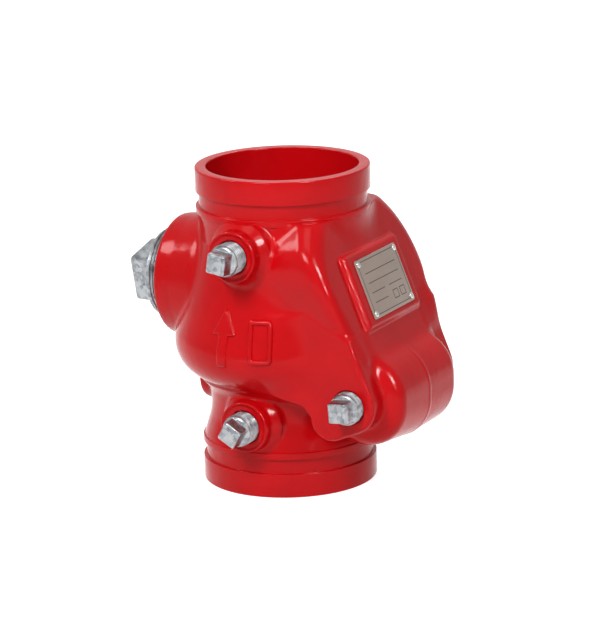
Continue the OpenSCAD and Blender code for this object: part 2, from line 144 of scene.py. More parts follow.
class Outline:
    """Closed outline in a plane, kept as a table of distances."""

    def __init__(self, points: Sequence[Point], step: float = 0.5, margin: float = 16.0) -> None:
        """Measures the outline.

        Args:
            points: Corners in order.
            step: Spacing of the table.
            margin: How far the table reaches past the outline.
        """
        p = np.array(points, float)
        self.low = p.min(axis=0) - margin
        self.step = step
        shape = np.ceil((p.max(axis=0) + margin - self.low) / step).astype(int) + 1
        u = self.low[0] + step * np.arange(shape[0])[:, None]
        v = self.low[1] + step * np.arange(shape[1])[None, :]
        best = np.full(tuple(shape), 1e9)
        inside = np.zeros(tuple(shape), bool)
        for a, b in zip(p, np.roll(p, -1, axis=0)):
            e = b - a
            length = float(e @ e)
            if length < 1e-12:
                continue
            t = np.clip(((u - a[0]) * e[0] + (v - a[1]) * e[1]) / length, 0, 1)
            best = np.minimum(best, (u - a[0] - t * e[0]) ** 2 + (v - a[1] - t * e[1]) ** 2)
            if e[1] != 0:
                crosses = (v >= min(a[1], b[1])) & (v < max(a[1], b[1]))
                inside ^= crosses & (u < a[0] + (v - a[1]) * e[0] / e[1])
        self.values = np.where(inside, -np.sqrt(best), np.sqrt(best)).astype(np.float32)

    def at(self, u: Array, v: Array) -> Array:
        """Distance at places in the outline's plane.

        Args:
            u: Places along the plane's first axis.
            v: Places along its second.

        Returns:
            The distance at each place.
        """
        fu = np.clip((u - self.low[0]) / self.step, 0, self.values.shape[0] - 1.001)
        fv = np.clip((v - self.low[1]) / self.step, 0, self.values.shape[1] - 1.001)
        iu, iv = fu.astype(np.int32), fv.astype(np.int32)
        fu, fv = (fu - iu).astype(np.float32), (fv - iv).astype(np.float32)
        t = self.values
        low = t[iu, iv] * (1 - fv) + t[iu, iv + 1] * fv
        high = t[iu + 1, iv] * (1 - fv) + t[iu + 1, iv + 1] * fv
        return low * (1 - fu) + high * fu


def slope(distance: Distance, p: Array, reach: float) -> Array:
    """Direction in which a distance grows, at points p, measured over a reach either way.

    Args:
        distance: Distance to a solid.
        p: Points, one to a row.
        reach: How far either side of a point the distance is taken.

    Returns:
        The direction at each point, as long as the distance's rate of growth.
    """
    out = np.empty_like(p)
    for axis in range(3):
        step = np.zeros(3)
        step[axis] = reach
        out[:, axis] = (distance(*(p + step).T) - distance(*(p - step).T)) / (2 * reach)
    return out


def skin(
    distance: Distance, low: Sequence[float], high: Sequence[float], cell: float
) -> tuple[Array, Array]:
    """Closed net of four-sided faces over a solid.

    Args:
        distance: Distance to the solid.
        low: Lowest corner of the searched box.
        high: Highest corner of the searched box.
        cell: Size of a face.

    Returns:
        Vertices and faces.
    """
    axes = [np.arange(low[i], high[i] + cell, cell, dtype=np.float32) for i in range(3)]
    shape = tuple(len(a) for a in axes)
    values = np.empty(shape, np.float32)
    for i in range(0, shape[0], 16):
        x = axes[0][i : i + 16, None, None]
        values[i : i + 16] = distance(x, axes[1][None, :, None], axes[2][None, None, :])
    solid = values < 0
    corner = [(a, b, c) for a in (0, 1) for b in (0, 1) for c in (0, 1)]

    def shifted(source: Array, a: int, b: int, c: int) -> Array:
        """Values at one corner of every cell."""
        return source[a : shape[0] - 1 + a, b : shape[1] - 1 + b, c : shape[2] - 1 + c]

    count = sum(shifted(solid, *c).astype(np.int8) for c in corner)
    cells = np.argwhere((count > 0) & (count < 8))
    at = {c: values[cells[:, 0] + c[0], cells[:, 1] + c[1], cells[:, 2] + c[2]] for c in corner}
    total, weight = np.zeros((len(cells), 3)), np.zeros(len(cells))
    for i, a in enumerate(corner):
        for b in corner[i + 1 :]:
            if sum(abs(p - q) for p, q in zip(a, b)) != 1:
                continue
            va, vb = at[a], at[b]
            cross = (va < 0) != (vb < 0)
            t = np.where(cross, va / np.where(cross, va - vb, 1), 0)[:, None]
            total += np.where(cross[:, None], np.array(a) + t * (np.array(b) - np.array(a)), 0)
            weight += cross
    vertices = np.array(low) + cell * (cells + total / weight[:, None])
    number = np.full(tuple(n - 1 for n in shape), -1, np.int32)
    number[tuple(cells.T)] = np.arange(len(cells))
    faces = []
    for axis in range(3):
        first = [slice(None)] * 3
        second = [slice(None)] * 3
        first[axis], second[axis] = slice(0, -1), slice(1, None)
        a, b = solid[tuple(first)], solid[tuple(second)]
        edges = np.argwhere(a != b)
        out = a[tuple(edges.T)]
        u, v = (axis + 1) % 3, (axis + 2) % 3
        ring = []
        for du, dv in ((0, 0), (1, 0), (1, 1), (0, 1)):
            c = edges.copy()
            c[:, u] -= 1 - du
            c[:, v] -= 1 - dv
            ring.append(number[tuple(c.T)])
        quad = np.stack(ring, axis=1)
        faces.append(np.where(out[:, None], quad, quad[:, ::-1]))
    return vertices, np.concatenate(faces)


def settled(
    distance: Distance, vertices: Array, faces: Array, cell: float, rounds: int = 3
) -> Array:
    """Vertices spread evenly over the true surface.

    Args:
        distance: Distance to the solid.
        vertices: Vertices near the surface.
        faces: Four-sided faces.
        cell: Size of a face.
        rounds: Times that the net is evened out.

    Returns:
        The moved vertices.
    """
    v = vertices.copy()
    a = faces.ravel()
    b = np.roll(faces, -1, axis=1).ravel()
    degree = np.bincount(a, minlength=len(v)) + np.bincount(b, minlength=len(v))
    for turn in range(rounds + 1):
        for _ in range(2):
            g = slope(distance, v, 0.25 * cell)
            size = np.maximum(np.linalg.norm(g, axis=1), 0.4)[:, None]
            d = distance(*v.T)[:, None]
            v -= np.clip(d / size, -0.6 * cell, 0.6 * cell) * g / size
        if turn == rounds:
            break
        sums = [np.bincount(a, v[b, k], len(v)) + np.bincount(b, v[a, k], len(v)) for k in range(3)]
        move = 0.5 * (np.stack(sums, axis=1) / degree[:, None] - v)
        n = g / np.linalg.norm(g, axis=1)[:, None]
        v += move - n * np.sum(move * n, axis=1)[:, None]
    return v


def mesh_object(
    name: str, vertices: Array, faces: Array | Faces, normals: Array | None = None
) -> bpy.types.Object:
    """Object made of a mesh given in millimetres.

    Args:
        name: Name of the object and its mesh.
        vertices: Places of the vertices.
        faces: Corner numbers of each face.
        normals: Surface direction at each vertex, where the shading follows it.

    Returns:
        The linked object.
    """
    mesh = bpy.data.meshes.new(name)
    if isinstance(faces, np.ndarray):
        mesh.vertices.add(len(vertices))
        mesh.vertices.foreach_set("co", (np.asarray(vertices) * MM).astype(np.float32).ravel())
        mesh.loops.add(faces.size)
        mesh.loops.foreach_set("vertex_index", faces.astype(np.int32).ravel())
        mesh.polygons.add(len(faces))
        starts = np.arange(0, faces.size, faces.shape[1], dtype=np.int32)
        mesh.polygons.foreach_set("loop_start", starts)
        mesh.update(calc_edges=True)
    else:
        mesh.from_pydata([tuple(c * MM for c in v) for v in vertices], [], faces)
    mesh.validate()
    mesh.polygons.foreach_set("use_smooth", np.ones(len(mesh.polygons), bool))
    if normals is not None:
        mesh.normals_split_custom_set_from_vertices(normals.astype(np.float32))
    else:
        mesh.set_sharp_from_angle(angle=math.radians(SHARP_ANGLE))
    item = bpy.data.objects.new(name, mesh)
    bpy.context.scene.collection.objects.link(item)
    return item


def cast_object(
    name: str, distance: Distance, low: Sequence[float], high: Sequence[float], cell: float
) -> bpy.types.Object:
    """Object that follows a distance, shaded with the true surface directions.

    Args:
        name: Name of the object.
        distance: Distance to the solid.
        low: Lowest corner of the searched box.
        high: Highest corner of the searched box.
        cell: Size of a face.

    Returns:
        The linked object.
    """
    vertices, faces = skin(distance, low, high, cell)
    vertices = settled(distance, vertices, faces, cell)
    normals = slope(distance, vertices, SHADE_REACH)
    normals /= np.linalg.norm(normals, axis=1)[:, None]
    return mesh_object(name, vertices, faces, normals)


def loft(rings: Sequence[Array], close: bool = True) -> tuple[Array, Faces]:
    """Skin over rings of equal count.

    Args:
        rings: Points of each ring, in order.
        close: Whether the ends are capped; if not, the last ring joins the first.

    Returns:
        Vertices and faces.
    """
    count = len(rings[0])
    faces: Faces = []
    last = len(rings) - 1 if close else len(rings)
    for i in range(last):
        j = (i + 1) % len(rings)
        for k in range(count):
            m = (k + 1) % count
            faces.append((i * count + k, i * count + m, j * count + m, j * count + k))
    if close:
        faces.append(tuple(reversed(range(count))))
        faces.append(tuple(range((len(rings) - 1) * count, len(rings) * count)))
    return np.concatenate(rings), faces


def around(count: int) -> Array:
    """Angles of evenly spaced points round a circle."""
    return np.linspace(0, 2 * math.pi, count, endpoint=False)


def circle(r: float | Array, z: float, count: int = RING) -> Array:
    """Ring of points about the Z axis; the radius may differ from point to point."""
    angles = around(count)
    return np.stack([r * np.cos(angles), r * np.sin(angles), np.full(count, z)], axis=1)


def turned(section: Sequence[Point], count: int = 256) -> tuple[Array, Faces]:
    """Ring turned from a closed section of (radius, height) points about the Z axis."""
    return loft([circle(r, z, count) for r, z in section], close=False)


def softened(points: Sequence[Point], radii: Sequence[float], count: int = 4) -> list[Point]:
    """Closed outline with its corners rounded.

    Args:
        points: Corners in order.
        radii: Round of each corner; 0 keeps it sharp.
        count: Pieces of each round.

    Returns:
        The points of the rounded outline.
    """
    out: list[Point] = []
    n = len(points)
    for i, (p, r) in enumerate(zip(points, radii)):
        if r <= 0:
            out.append(p)
            continue
        a, c, b = Vector(points[i - 1]), Vector(p), Vector(points[(i + 1) % n])
        u, v = (a - c).normalized(), (b - c).normalized()
        half = u.angle(v) / 2
        reach = min(r / math.tan(half), (a - c).length * 0.49, (b - c).length * 0.49)
        start, stop = c + u * reach, c + v * reach
        for t in np.linspace(0, 1, count + 1):
            q = start * (1 - t) ** 2 + c * 2 * t * (1 - t) + stop * t**2
            out.append((q.x, q.y))
    return out


def plate_ring(half: Point, corner: float, z: float) -> Array:
    """Ring at height z round a plate of the given half sizes, with rounded corners.

    Args:
        half: Half of the plate's width and height.
        corner: Round of its corners.
        z: Height of the ring.

    Returns:
        The points of the ring.
    """
    a, b = half
    ring = softened([(-a, -b), (a, -b), (a, b), (-a, b)], [corner] * 4, 5)
    return np.array([(x, y, z) for x, y in ring])


# Finishes


def linear(colour: str) -> tuple[float, float, float, float]:
    """Linear colour of an sRGB hex value such as #C81018.

    Args:
        colour: The hex value.

    Returns:
        Red, green, blue and an alpha of 1.
    """
    parts = [int(colour[i : i + 2], 16) / 255 for i in (1, 3, 5)]
    r, g, b = (p / 12.92 if p <= 0.04045 else ((p + 0.055) / 1.055) ** 2.4 for p in parts)
    return (r, g, b, 1.0)


def add_node(
    tree: bpy.types.NodeTree, kind: str, settings: Links | None = None, links: Links | None = None
) -> bpy.types.Node:
    """Adds a shader node.

    Args:
        tree: Tree that gets the node.
        kind: Node type, without its ShaderNode prefix.
        settings: Node settings and socket values, by name or socket number.
        links: Sockets to connect, by input name or number.

    Returns:
        The node.
    """
    node = tree.nodes.new("ShaderNode" + kind)
    for key, value in (settings or {}).items():
        if isinstance(key, int) or key in node.inputs:
            node.inputs[key].default_value = value
        else:
            setattr(node, key, value)
    for key, socket in (links or {}).items():
        tree.links.new(socket, node.inputs[key])
    return node


def bare_tree(owner: bpy.types.Material | bpy.types.World) -> bpy.types.NodeTree:
    """Node tree of a new material or world, without the nodes that it comes with.

    Args:
        owner: The material or world.

    Returns:
        The empty tree.
    """
    owner.use_nodes = True
    owner.node_tree.nodes.clear()
    return owner.node_tree


@dataclass(frozen=True)
class Finish:
    """A surface: its name, the record's slot it belongs to, its colours and its shine.

    The patterns of each kind of finish are sizes in millimetres, and a name that ends in _deep is
    the depth of a pattern's relief.
    """

    name: str
    slot: str
    colour: str
    other: str
    roughness: float
    metallic: float = 0.0
    ior: float = 1.5
    mirror: float = 0.5

    def look(self, tree: bpy.types.NodeTree, place: Links) -> Links:
        """Patterns of the surface.

        Args:
            tree: The material's tree.
            place: Link that gives a pattern the place on the piece, in metres.

        Returns:
            What each pattern feeds in the shader.
        """
        raise NotImplementedError

    def make(self) -> bpy.types.Material:
        """The material: the patterns of its look on one shader.

        Returns:
            The material.
        """
        material = bpy.data.materials.new(self.name)
        tree = bare_tree(material)
        place = {"Vector": add_node(tree, "TexCoord").outputs["Object"]}
        settings = {
            "Metallic": self.metallic,
            "Roughness": self.roughness,
            "IOR": self.ior,
            "Specular IOR Level": self.mirror,
        }
        shader = add_node(tree, "BsdfPrincipled", settings, self.look(tree, place))
        add_node(tree, "OutputMaterial", {}, {"Surface": shader.outputs["BSDF"]})
        return material

    def two_tone(self, tree: bpy.types.NodeTree, noise: Any, span: Point, most: float = 1.0) -> Any:
        """Colour between the finish's own two, led by a noise.

        Args:
            tree: The material's tree.
            noise: Socket of the noise.
            span: Noise where the second colour starts and where it is strongest.
            most: Strongest share of the second colour.

        Returns:
            Socket of the colour.
        """
        ramp = {"From Min": span[0], "From Max": span[1], "To Max": most}
        amount = add_node(tree, "MapRange", ramp, {"Value": noise})
        both = {"data_type": "RGBA", 6: linear(self.colour), 7: linear(self.other)}
        return add_node(tree, "Mix", both, {0: amount.outputs["Result"]}).outputs[2]

    def shine(self, below: float, above: float) -> dict[str, float]:
        """Settings of a range of roughness, for a noise that runs from 0.3 to 0.7."""
        low, high = self.roughness - below, self.roughness + above
        return {"From Min": 0.3, "From Max": 0.7, "To Min": low, "To Max": high}


@dataclass(frozen=True)
class BakedEnamel(Finish):
    """Alkyd enamel baked on sand-cast iron: wet gloss over a soft unevenness."""

    mirror: float = 0.12
    cloud: float = 30.0
    film: float = 4.0
    sag: float = 11.0
    sag_deep: float = 0.22
    sand: float = 1.6
    sand_deep: float = 0.035

    def look(self, tree: bpy.types.NodeTree, place: Links) -> Links:
        """Thick film reads darker, and the sand shows faintly in the highlights.

        Args:
            tree: The material's tree.
            place: Link that gives the place on the piece.

        Returns:
            What each pattern feeds in the shader.
        """
        cloud = add_node(tree, "TexNoise", {"Scale": METRE / self.cloud, "Detail": 3.0}, place)
        film = add_node(tree, "TexNoise", {"Scale": METRE / self.film, "Detail": 2.0}, place)
        gloss = add_node(tree, "MapRange", self.shine(0.03, 0.06), {"Value": film.outputs["Fac"]})
        sag = add_node(tree, "TexNoise", {"Scale": METRE / self.sag, "Detail": 1.0}, place)
        wave = add_node(tree, "Bump", {"Distance": self.sag_deep * MM}, {"Height": sag.outputs["Fac"]})
        sand = add_node(tree, "TexNoise", {"Scale": METRE / self.sand, "Detail": 3.0}, place)
        relief = {"Height": sand.outputs["Fac"], "Normal": wave.outputs["Normal"]}
        grain = add_node(tree, "Bump", {"Distance": self.sand_deep * MM}, relief)
        return {
            "Base Color": self.two_tone(tree, cloud.outputs["Fac"], (0.35, 0.65)),
            "Roughness": gloss.outputs["Result"],
            "Normal": grain.outputs["Normal"],
        }


@dataclass(frozen=True)
class ZincPlate(Finish):
    """Hot-dipped zinc on forged steel: mottled crystals, small dings and a dull sheen."""

    crystal: float = 2.4
    cloud: float = 6.0
    ding: float = 2.4
    ding_deep: float = 0.1

    def look(self, tree: bpy.types.NodeTree, place: Links) -> Links:
        """Each crystal takes its own grey, and forging dents break the edges.

        Args:
            tree: The material's tree.
            place: Link that gives the place on the piece.

        Returns:
            What each pattern feeds in the shader.
        """
        cells = add_node(tree, "TexVoronoi", {"Scale": METRE / self.crystal}, place)
        tone = add_node(tree, "SeparateColor", {}, {"Color": cells.outputs["Color"]})
        cloud = add_node(tree, "TexNoise", {"Scale": METRE / self.cloud, "Detail": 4.0}, place)
        pair = {0: tone.outputs[0], 1: cloud.outputs["Fac"]}
        mottle = add_node(tree, "Math", {"operation": "MULTIPLY"}, pair)
        sheen = add_node(tree, "MapRange", self.shine(0.1, 0.14), {"Value": cloud.outputs["Fac"]})
        dings = add_node(tree, "TexNoise", {"Scale": METRE / self.ding, "Detail": 3.0}, place)
        dent = add_node(tree, "Bump", {"Distance": self.ding_deep * MM}, {"Height": dings.outputs["Fac"]})
        return {
            "Base Color": self.two_tone(tree, mottle.outputs[0], (0.1, 0.65)),
            "Roughness": sheen.outputs["Result"],
            "Normal": dent.outputs["Normal"],
        }


@dataclass(frozen=True)
class BrushedSheet(Finish):
    """Aluminium sheet brushed along its length: fine lines that spread the light across them."""

    line: float = 0.7
    line_deep: float = 0.01
    cloud: float = 14.0
    stretch: tuple[float, float, float] = (1.0, 0.04, 1.0)

    def look(self, tree: bpy.types.NodeTree, place: Links) -> Links:
        """Lines twice as wide as real ones, so that they show at this distance.

        Args:
            tree: The material's tree.
            place: Link that gives the place on the piece.

        Returns:
            What each pattern feeds in the shader.
        """
        along = add_node(tree, "VectorMath", {"operation": "MULTIPLY", 1: self.stretch}, place)
        drawn = {"Vector": along.outputs[0]}
        lines = add_node(tree, "TexNoise", {"Scale": METRE / self.line, "Detail": 3.0}, drawn)
        cloud = add_node(tree, "TexNoise", {"Scale": METRE / self.cloud, "Detail": 2.0}, place)
        sheen = add_node(tree, "MapRange", self.shine(0.06, 0.1), {"Value": lines.outputs["Fac"]})
        brush = add_node(tree, "Bump", {"Distance": self.line_deep * MM}, {"Height": lines.outputs["Fac"]})
        return {
            "Base Color": self.two_tone(tree, cloud.outputs["Fac"], (0.0, 1.0)),
            "Roughness": sheen.outputs["Result"],
            "Normal": brush.outputs["Normal"],
        }


@dataclass(frozen=True)
class TurnedMetal(Finish):
    """Metal turned or drawn to size: very fine tool lines and an even sheen."""

    line: float = 1.2
    line_deep: float = 0.015
    cloud: float = 8.0

    def look(self, tree: bpy.types.NodeTree, place: Links) -> Links:
        """Tool marks drawn coarse enough to break the sheen.

        Args:
            tree: The material's tree.
            place: Link that gives the place on the piece.

        Returns:
            What each pattern feeds in the shader.
        """
        lines = add_node(tree, "TexNoise", {"Scale": METRE / self.line, "Detail": 3.0}, place)
        cloud = add_node(tree, "TexNoise", {"Scale": METRE / self.cloud, "Detail": 2.0}, place)
        sheen = add_node(tree, "MapRange", self.shine(0.06, 0.1), {"Value": lines.outputs["Fac"]})
        marks = add_node(tree, "Bump", {"Distance": self.line_deep * MM}, {"Height": lines.outputs["Fac"]})
        return {
            "Base Color": self.two_tone(tree, cloud.outputs["Fac"], (0.3, 0.7), 0.6),
            "Roughness": sheen.outputs["Result"],
            "Normal": marks.outputs["Normal"],
        }


@dataclass(frozen=True)
class MouldedRubber(Finish):
    """Black nitrile rubber from a blasted mould: matt, with a grey bloom."""

    ior: float = 1.52
    bloom: float = 7.0
    blast: float = 0.8
    blast_deep: float = 0.03

    def look(self, tree: bpy.types.NodeTree, place: Links) -> Links:
        """The mould's blasting leaves a fine even roughness.

        Args:
            tree: The material's tree.
            place: Link that gives the place on the piece.

        Returns:
            What each pattern feeds in the shader.
        """
        bloom = add_node(tree, "TexNoise", {"Scale": METRE / self.bloom, "Detail": 4.0}, place)
        blast = add_node(tree, "TexNoise", {"Scale": METRE / self.blast, "Detail": 3.0}, place)
        grain = add_node(tree, "Bump", {"Distance": self.blast_deep * MM}, {"Height": blast.outputs["Fac"]})
        return {
            "Base Color": self.two_tone(tree, bloom.outputs["Fac"], (0.3, 0.7), 0.5),
            "Normal": grain.outputs["Normal"],
        }


@dataclass(frozen=True)
class CoatedIron(Finish):
    """Ductile iron casting under a thin grey coat: sandy, with lighter worn spots."""

    cloud: float = 10.0
    sand: float = 1.3
    sand_deep: float = 0.12

    def look(self, tree: bpy.types.NodeTree, place: Links) -> Links:
        """The coat is too thin to fill the sand's texture.

        Args:
            tree: The material's tree.
            place: Link that gives the place on the piece.

        Returns:
            What each pattern feeds in the shader.
        """
        cloud = add_node(tree, "TexNoise", {"Scale": METRE / self.cloud, "Detail": 5.0}, place)
        sheen = add_node(tree, "MapRange", self.shine(0.1, 0.1), {"Value": cloud.outputs["Fac"]})
        sand = add_node(tree, "TexNoise", {"Scale": METRE / self.sand, "Detail": 4.0}, place)
        grain = add_node(tree, "Bump", {"Distance": self.sand_deep * MM}, {"Height": sand.outputs["Fac"]})
        return {
            "Base Color": self.two_tone(tree, cloud.outputs["Fac"], (0.3, 0.7), 0.8),
            "Roughness": sheen.outputs["Result"],
            "Normal": grain.outputs["Normal"],
        }


@dataclass(frozen=True)
class PrintedInk(Finish):
    """Black screen ink baked on the plate: flat, thin and slightly glossy."""

    spot: float = 0.9

    def look(self, tree: bpy.types.NodeTree, place: Links) -> Links:
        """The ink thins out in small spots."""
        spots = add_node(tree, "TexNoise", {"Scale": METRE / self.spot, "Detail": 3.0}, place)
        return {"Base Color": self.two_tone(tree, spots.outputs["Fac"], (0.4, 0.7), 0.4)}


class Surface(Enum):
    """The finishes of this valve: name, slot, the two colours, roughness and how metallic."""

    ENAMEL = BakedEnamel(
        "red_baked_enamel_on_cast_iron", "red_enamel_iron", "#C2080F", "#CA0912", 0.13
    )
    ZINC = ZincPlate(
        "hot_dipped_zinc_on_forged_steel", "zinc_plated_steel", "#A2A5A8", "#63686C", 0.34, 1.0
    )
    PLATE = BrushedSheet(
        "brushed_aluminium_sheet", "plate_aluminium", "#A8998F", "#9C8D83", 0.4, 1.0
    )
    INK = PrintedInk("baked_black_screen_ink", "plate_aluminium", "#2A2624", "#5A524C", 0.45)
    RIVET = TurnedMetal("rolled_steel_rivet", "rivet_steel", "#CDCDCB", "#A5A5A2", 0.26, 1.0)
    STAINLESS = TurnedMetal(
        "turned_stainless_steel", "turned_stainless", "#B5B4B0", "#8A8A88", 0.26, 1.0
    )
    BRONZE = TurnedMetal(
        "turned_bearing_bronze", "bearing_bronze", "#B98A4E", "#8C6A3C", 0.32, 1.0
    )
    WIRE = TurnedMetal("drawn_stainless_wire", "spring_wire", "#AEB0B2", "#85888A", 0.24, 1.0)
    RUBBER = MouldedRubber("moulded_nitrile_rubber", "black_rubber", "#1C1C1E", "#3A3A3C", 0.62)
    IRON = CoatedIron("coated_ductile_iron", "grey_coated_iron", "#55585A", "#7B7D7E", 0.5, 0.35)


class Paintbox:
    """Materials made once each, and the collection of the enamelled pieces."""

    def __init__(self) -> None:
        """Starts with no material made."""
        self.made: dict[Surface, bpy.types.Material] = {}
        self.enamelled = bpy.data.collections.new("enamelled_pieces")

    def dress(self, item: bpy.types.Object, surface: Surface) -> None:
        """Gives an object one finish on all its faces.

        Args:
            item: The object.
            surface: Its finish.
        """
        if surface not in self.made:
            self.made[surface] = surface.value.make()
        item.data.materials.clear()
        item.data.materials.append(self.made[surface])
        slots = np.zeros(len(item.data.polygons), np.int32)
        item.data.polygons.foreach_set("material_index", slots)
        if surface is Surface.ENAMEL:
            self.enamelled.objects.link(item)

    def settle(self, item: bpy.types.Object, surface: Surface, body: str, *nodes: str) -> None:
        """Dresses a new piece, puts it on its body and says which nodes it stands for.

        Args:
            item: The new piece.
            surface: Its finish.
            body: The body it moves with.
            nodes: CAD nodes it stands for.
        """
        self.dress(item, surface)
        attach(item, body)
        if nodes:
            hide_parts(*nodes)
        LOG.info("%s rides on %s and stands for %s", item.name, body, ", ".join(nodes) or "no node")


# Places that the sub-assemblies share


@dataclass(frozen=True)
class Layout:
    """Where the seat, the hinge pin and the clapper pocket lie."""

    length: float = 209.6
    seat_x: float = 4.0
    seat_z: float = 84.0
    seat_tilt: float = 20.0
    reach: float = 71.6
    rise: float = 10.0
    lean: float = 21.7
    wall: float = 7.0
    pocket_face: float = 18.8

    @property
    def pin(self) -> Point:
        """Place of the hinge pin in X and Z.

        Returns:
            The pin's X and Z.
        """
        c, s = cos_sin(self.seat_tilt)
        along = (self.reach * c, -self.reach * s)
        return (self.seat_x + along[0] + self.rise * s, self.seat_z + along[1] + self.rise * c)

    def seen_from_seat(self, x: Array, z: Array) -> tuple[Array, Array]:
        """Distances along and over the seat plane, from its middle.

        Args:
            x: Places along X.
            z: Places along Z.

        Returns:
            Both distances at each place.
        """
        c, s = cos_sin(self.seat_tilt)
        u, w = x - self.seat_x, z - self.seat_z
        return u * c - w * s, u * s + w * c

    def seen_from_clapper(self, x: Array, z: Array) -> tuple[Array, Array]:
        """Distances along and over the clapper, from the pin."""
        u, w = self.seen_from_seat(x, z)
        return u - self.reach, w - self.rise

    def seen_from_pocket(self, x: Array, z: Array) -> tuple[Array, Array]:
        """Distances out of and up along the pocket wall, from the pin.

        Args:
            x: Places along X.
            z: Places along Z.

        Returns:
            Both distances at each place.
        """
        c, s = cos_sin(self.lean)
        u, w = x - self.pin[0], z - self.pin[1]
        return u * c + w * s, w * c - u * s

    def pin_matrix(self, turn: float) -> Matrix:
        """Matrix, in millimetres, of a frame at the pin, turned about it by so many degrees."""
        pin = Matrix.Translation((self.pin[0], 0, self.pin[1]))
        return pin @ Matrix.Rotation(math.radians(turn), 4, "Y")

    def pocket_matrix(self, out: float, up: float) -> Matrix:
        """Matrix, in millimetres, whose Z axis leaves the pocket wall and whose X axis points down."""
        return self.pin_matrix(90 - self.lean) @ Matrix.Translation((-up, 0, out))

    def clapper_matrix(self) -> Matrix:
        """Matrix, in millimetres, with the pin at its origin and the closed clapper level."""
        return self.pin_matrix(self.seat_tilt)


def placed(vertices: Array, matrix: Matrix) -> Array:
    """Vertices moved by a matrix."""
    m = np.array(matrix)
    return vertices @ m[:3, :3].T + m[:3, 3]


def placed_all(pieces: Sequence[tuple[Array, Faces]], matrix: Matrix) -> tuple[Array, Faces]:
    """Several meshes as one, moved by a matrix.

    Args:
        pieces: Vertices and faces of each mesh.
        matrix: The move.

    Returns:
        Vertices and faces of the one mesh.
    """
    faces: Faces = []
    start = 0
    for vertices, polygons in pieces:
        faces += [tuple(k + start for k in face) for face in polygons]
        start += len(vertices)
    return placed(np.concatenate([v for v, _ in pieces]), matrix), faces


# Sub-assemblies, each after the functions that only it uses


def boss_outline(corners: Sequence[Point], radii: Sequence[float]) -> Outline:
    """Outline of a round boss in radius and height, with its face at 0.

    Args:
        corners: Edge of the boss from its face down to its root, which stays sharp.
        radii: Round of each corner but the root.

    Returns:
        The outline, closed behind the boss's axis.
    """
    root = corners[-1][1]
    edge = softened([*corners, (-20, root)], [*radii, 0, 0])
    return Outline([(-20, 0), *edge, (-20, root)])


def drill(radial: Array, deep: Array, thread: Point, hole: Point) -> Array:
    """Distance to a threaded hole and the narrower hole behind it.

    Args:
        radial: Distance from the hole's axis.
        deep: Distance out of the face.
        thread: Radius and depth of the thread.
        hole: Radius and depth of the narrower hole.

    Returns:
        Distance to both.
    """
    wide = np.maximum(radial - thread[0], -thread[1] - deep)
    return np.minimum(wide, np.maximum(radial - hole[0], np.maximum(-hole[1] - deep, deep)))


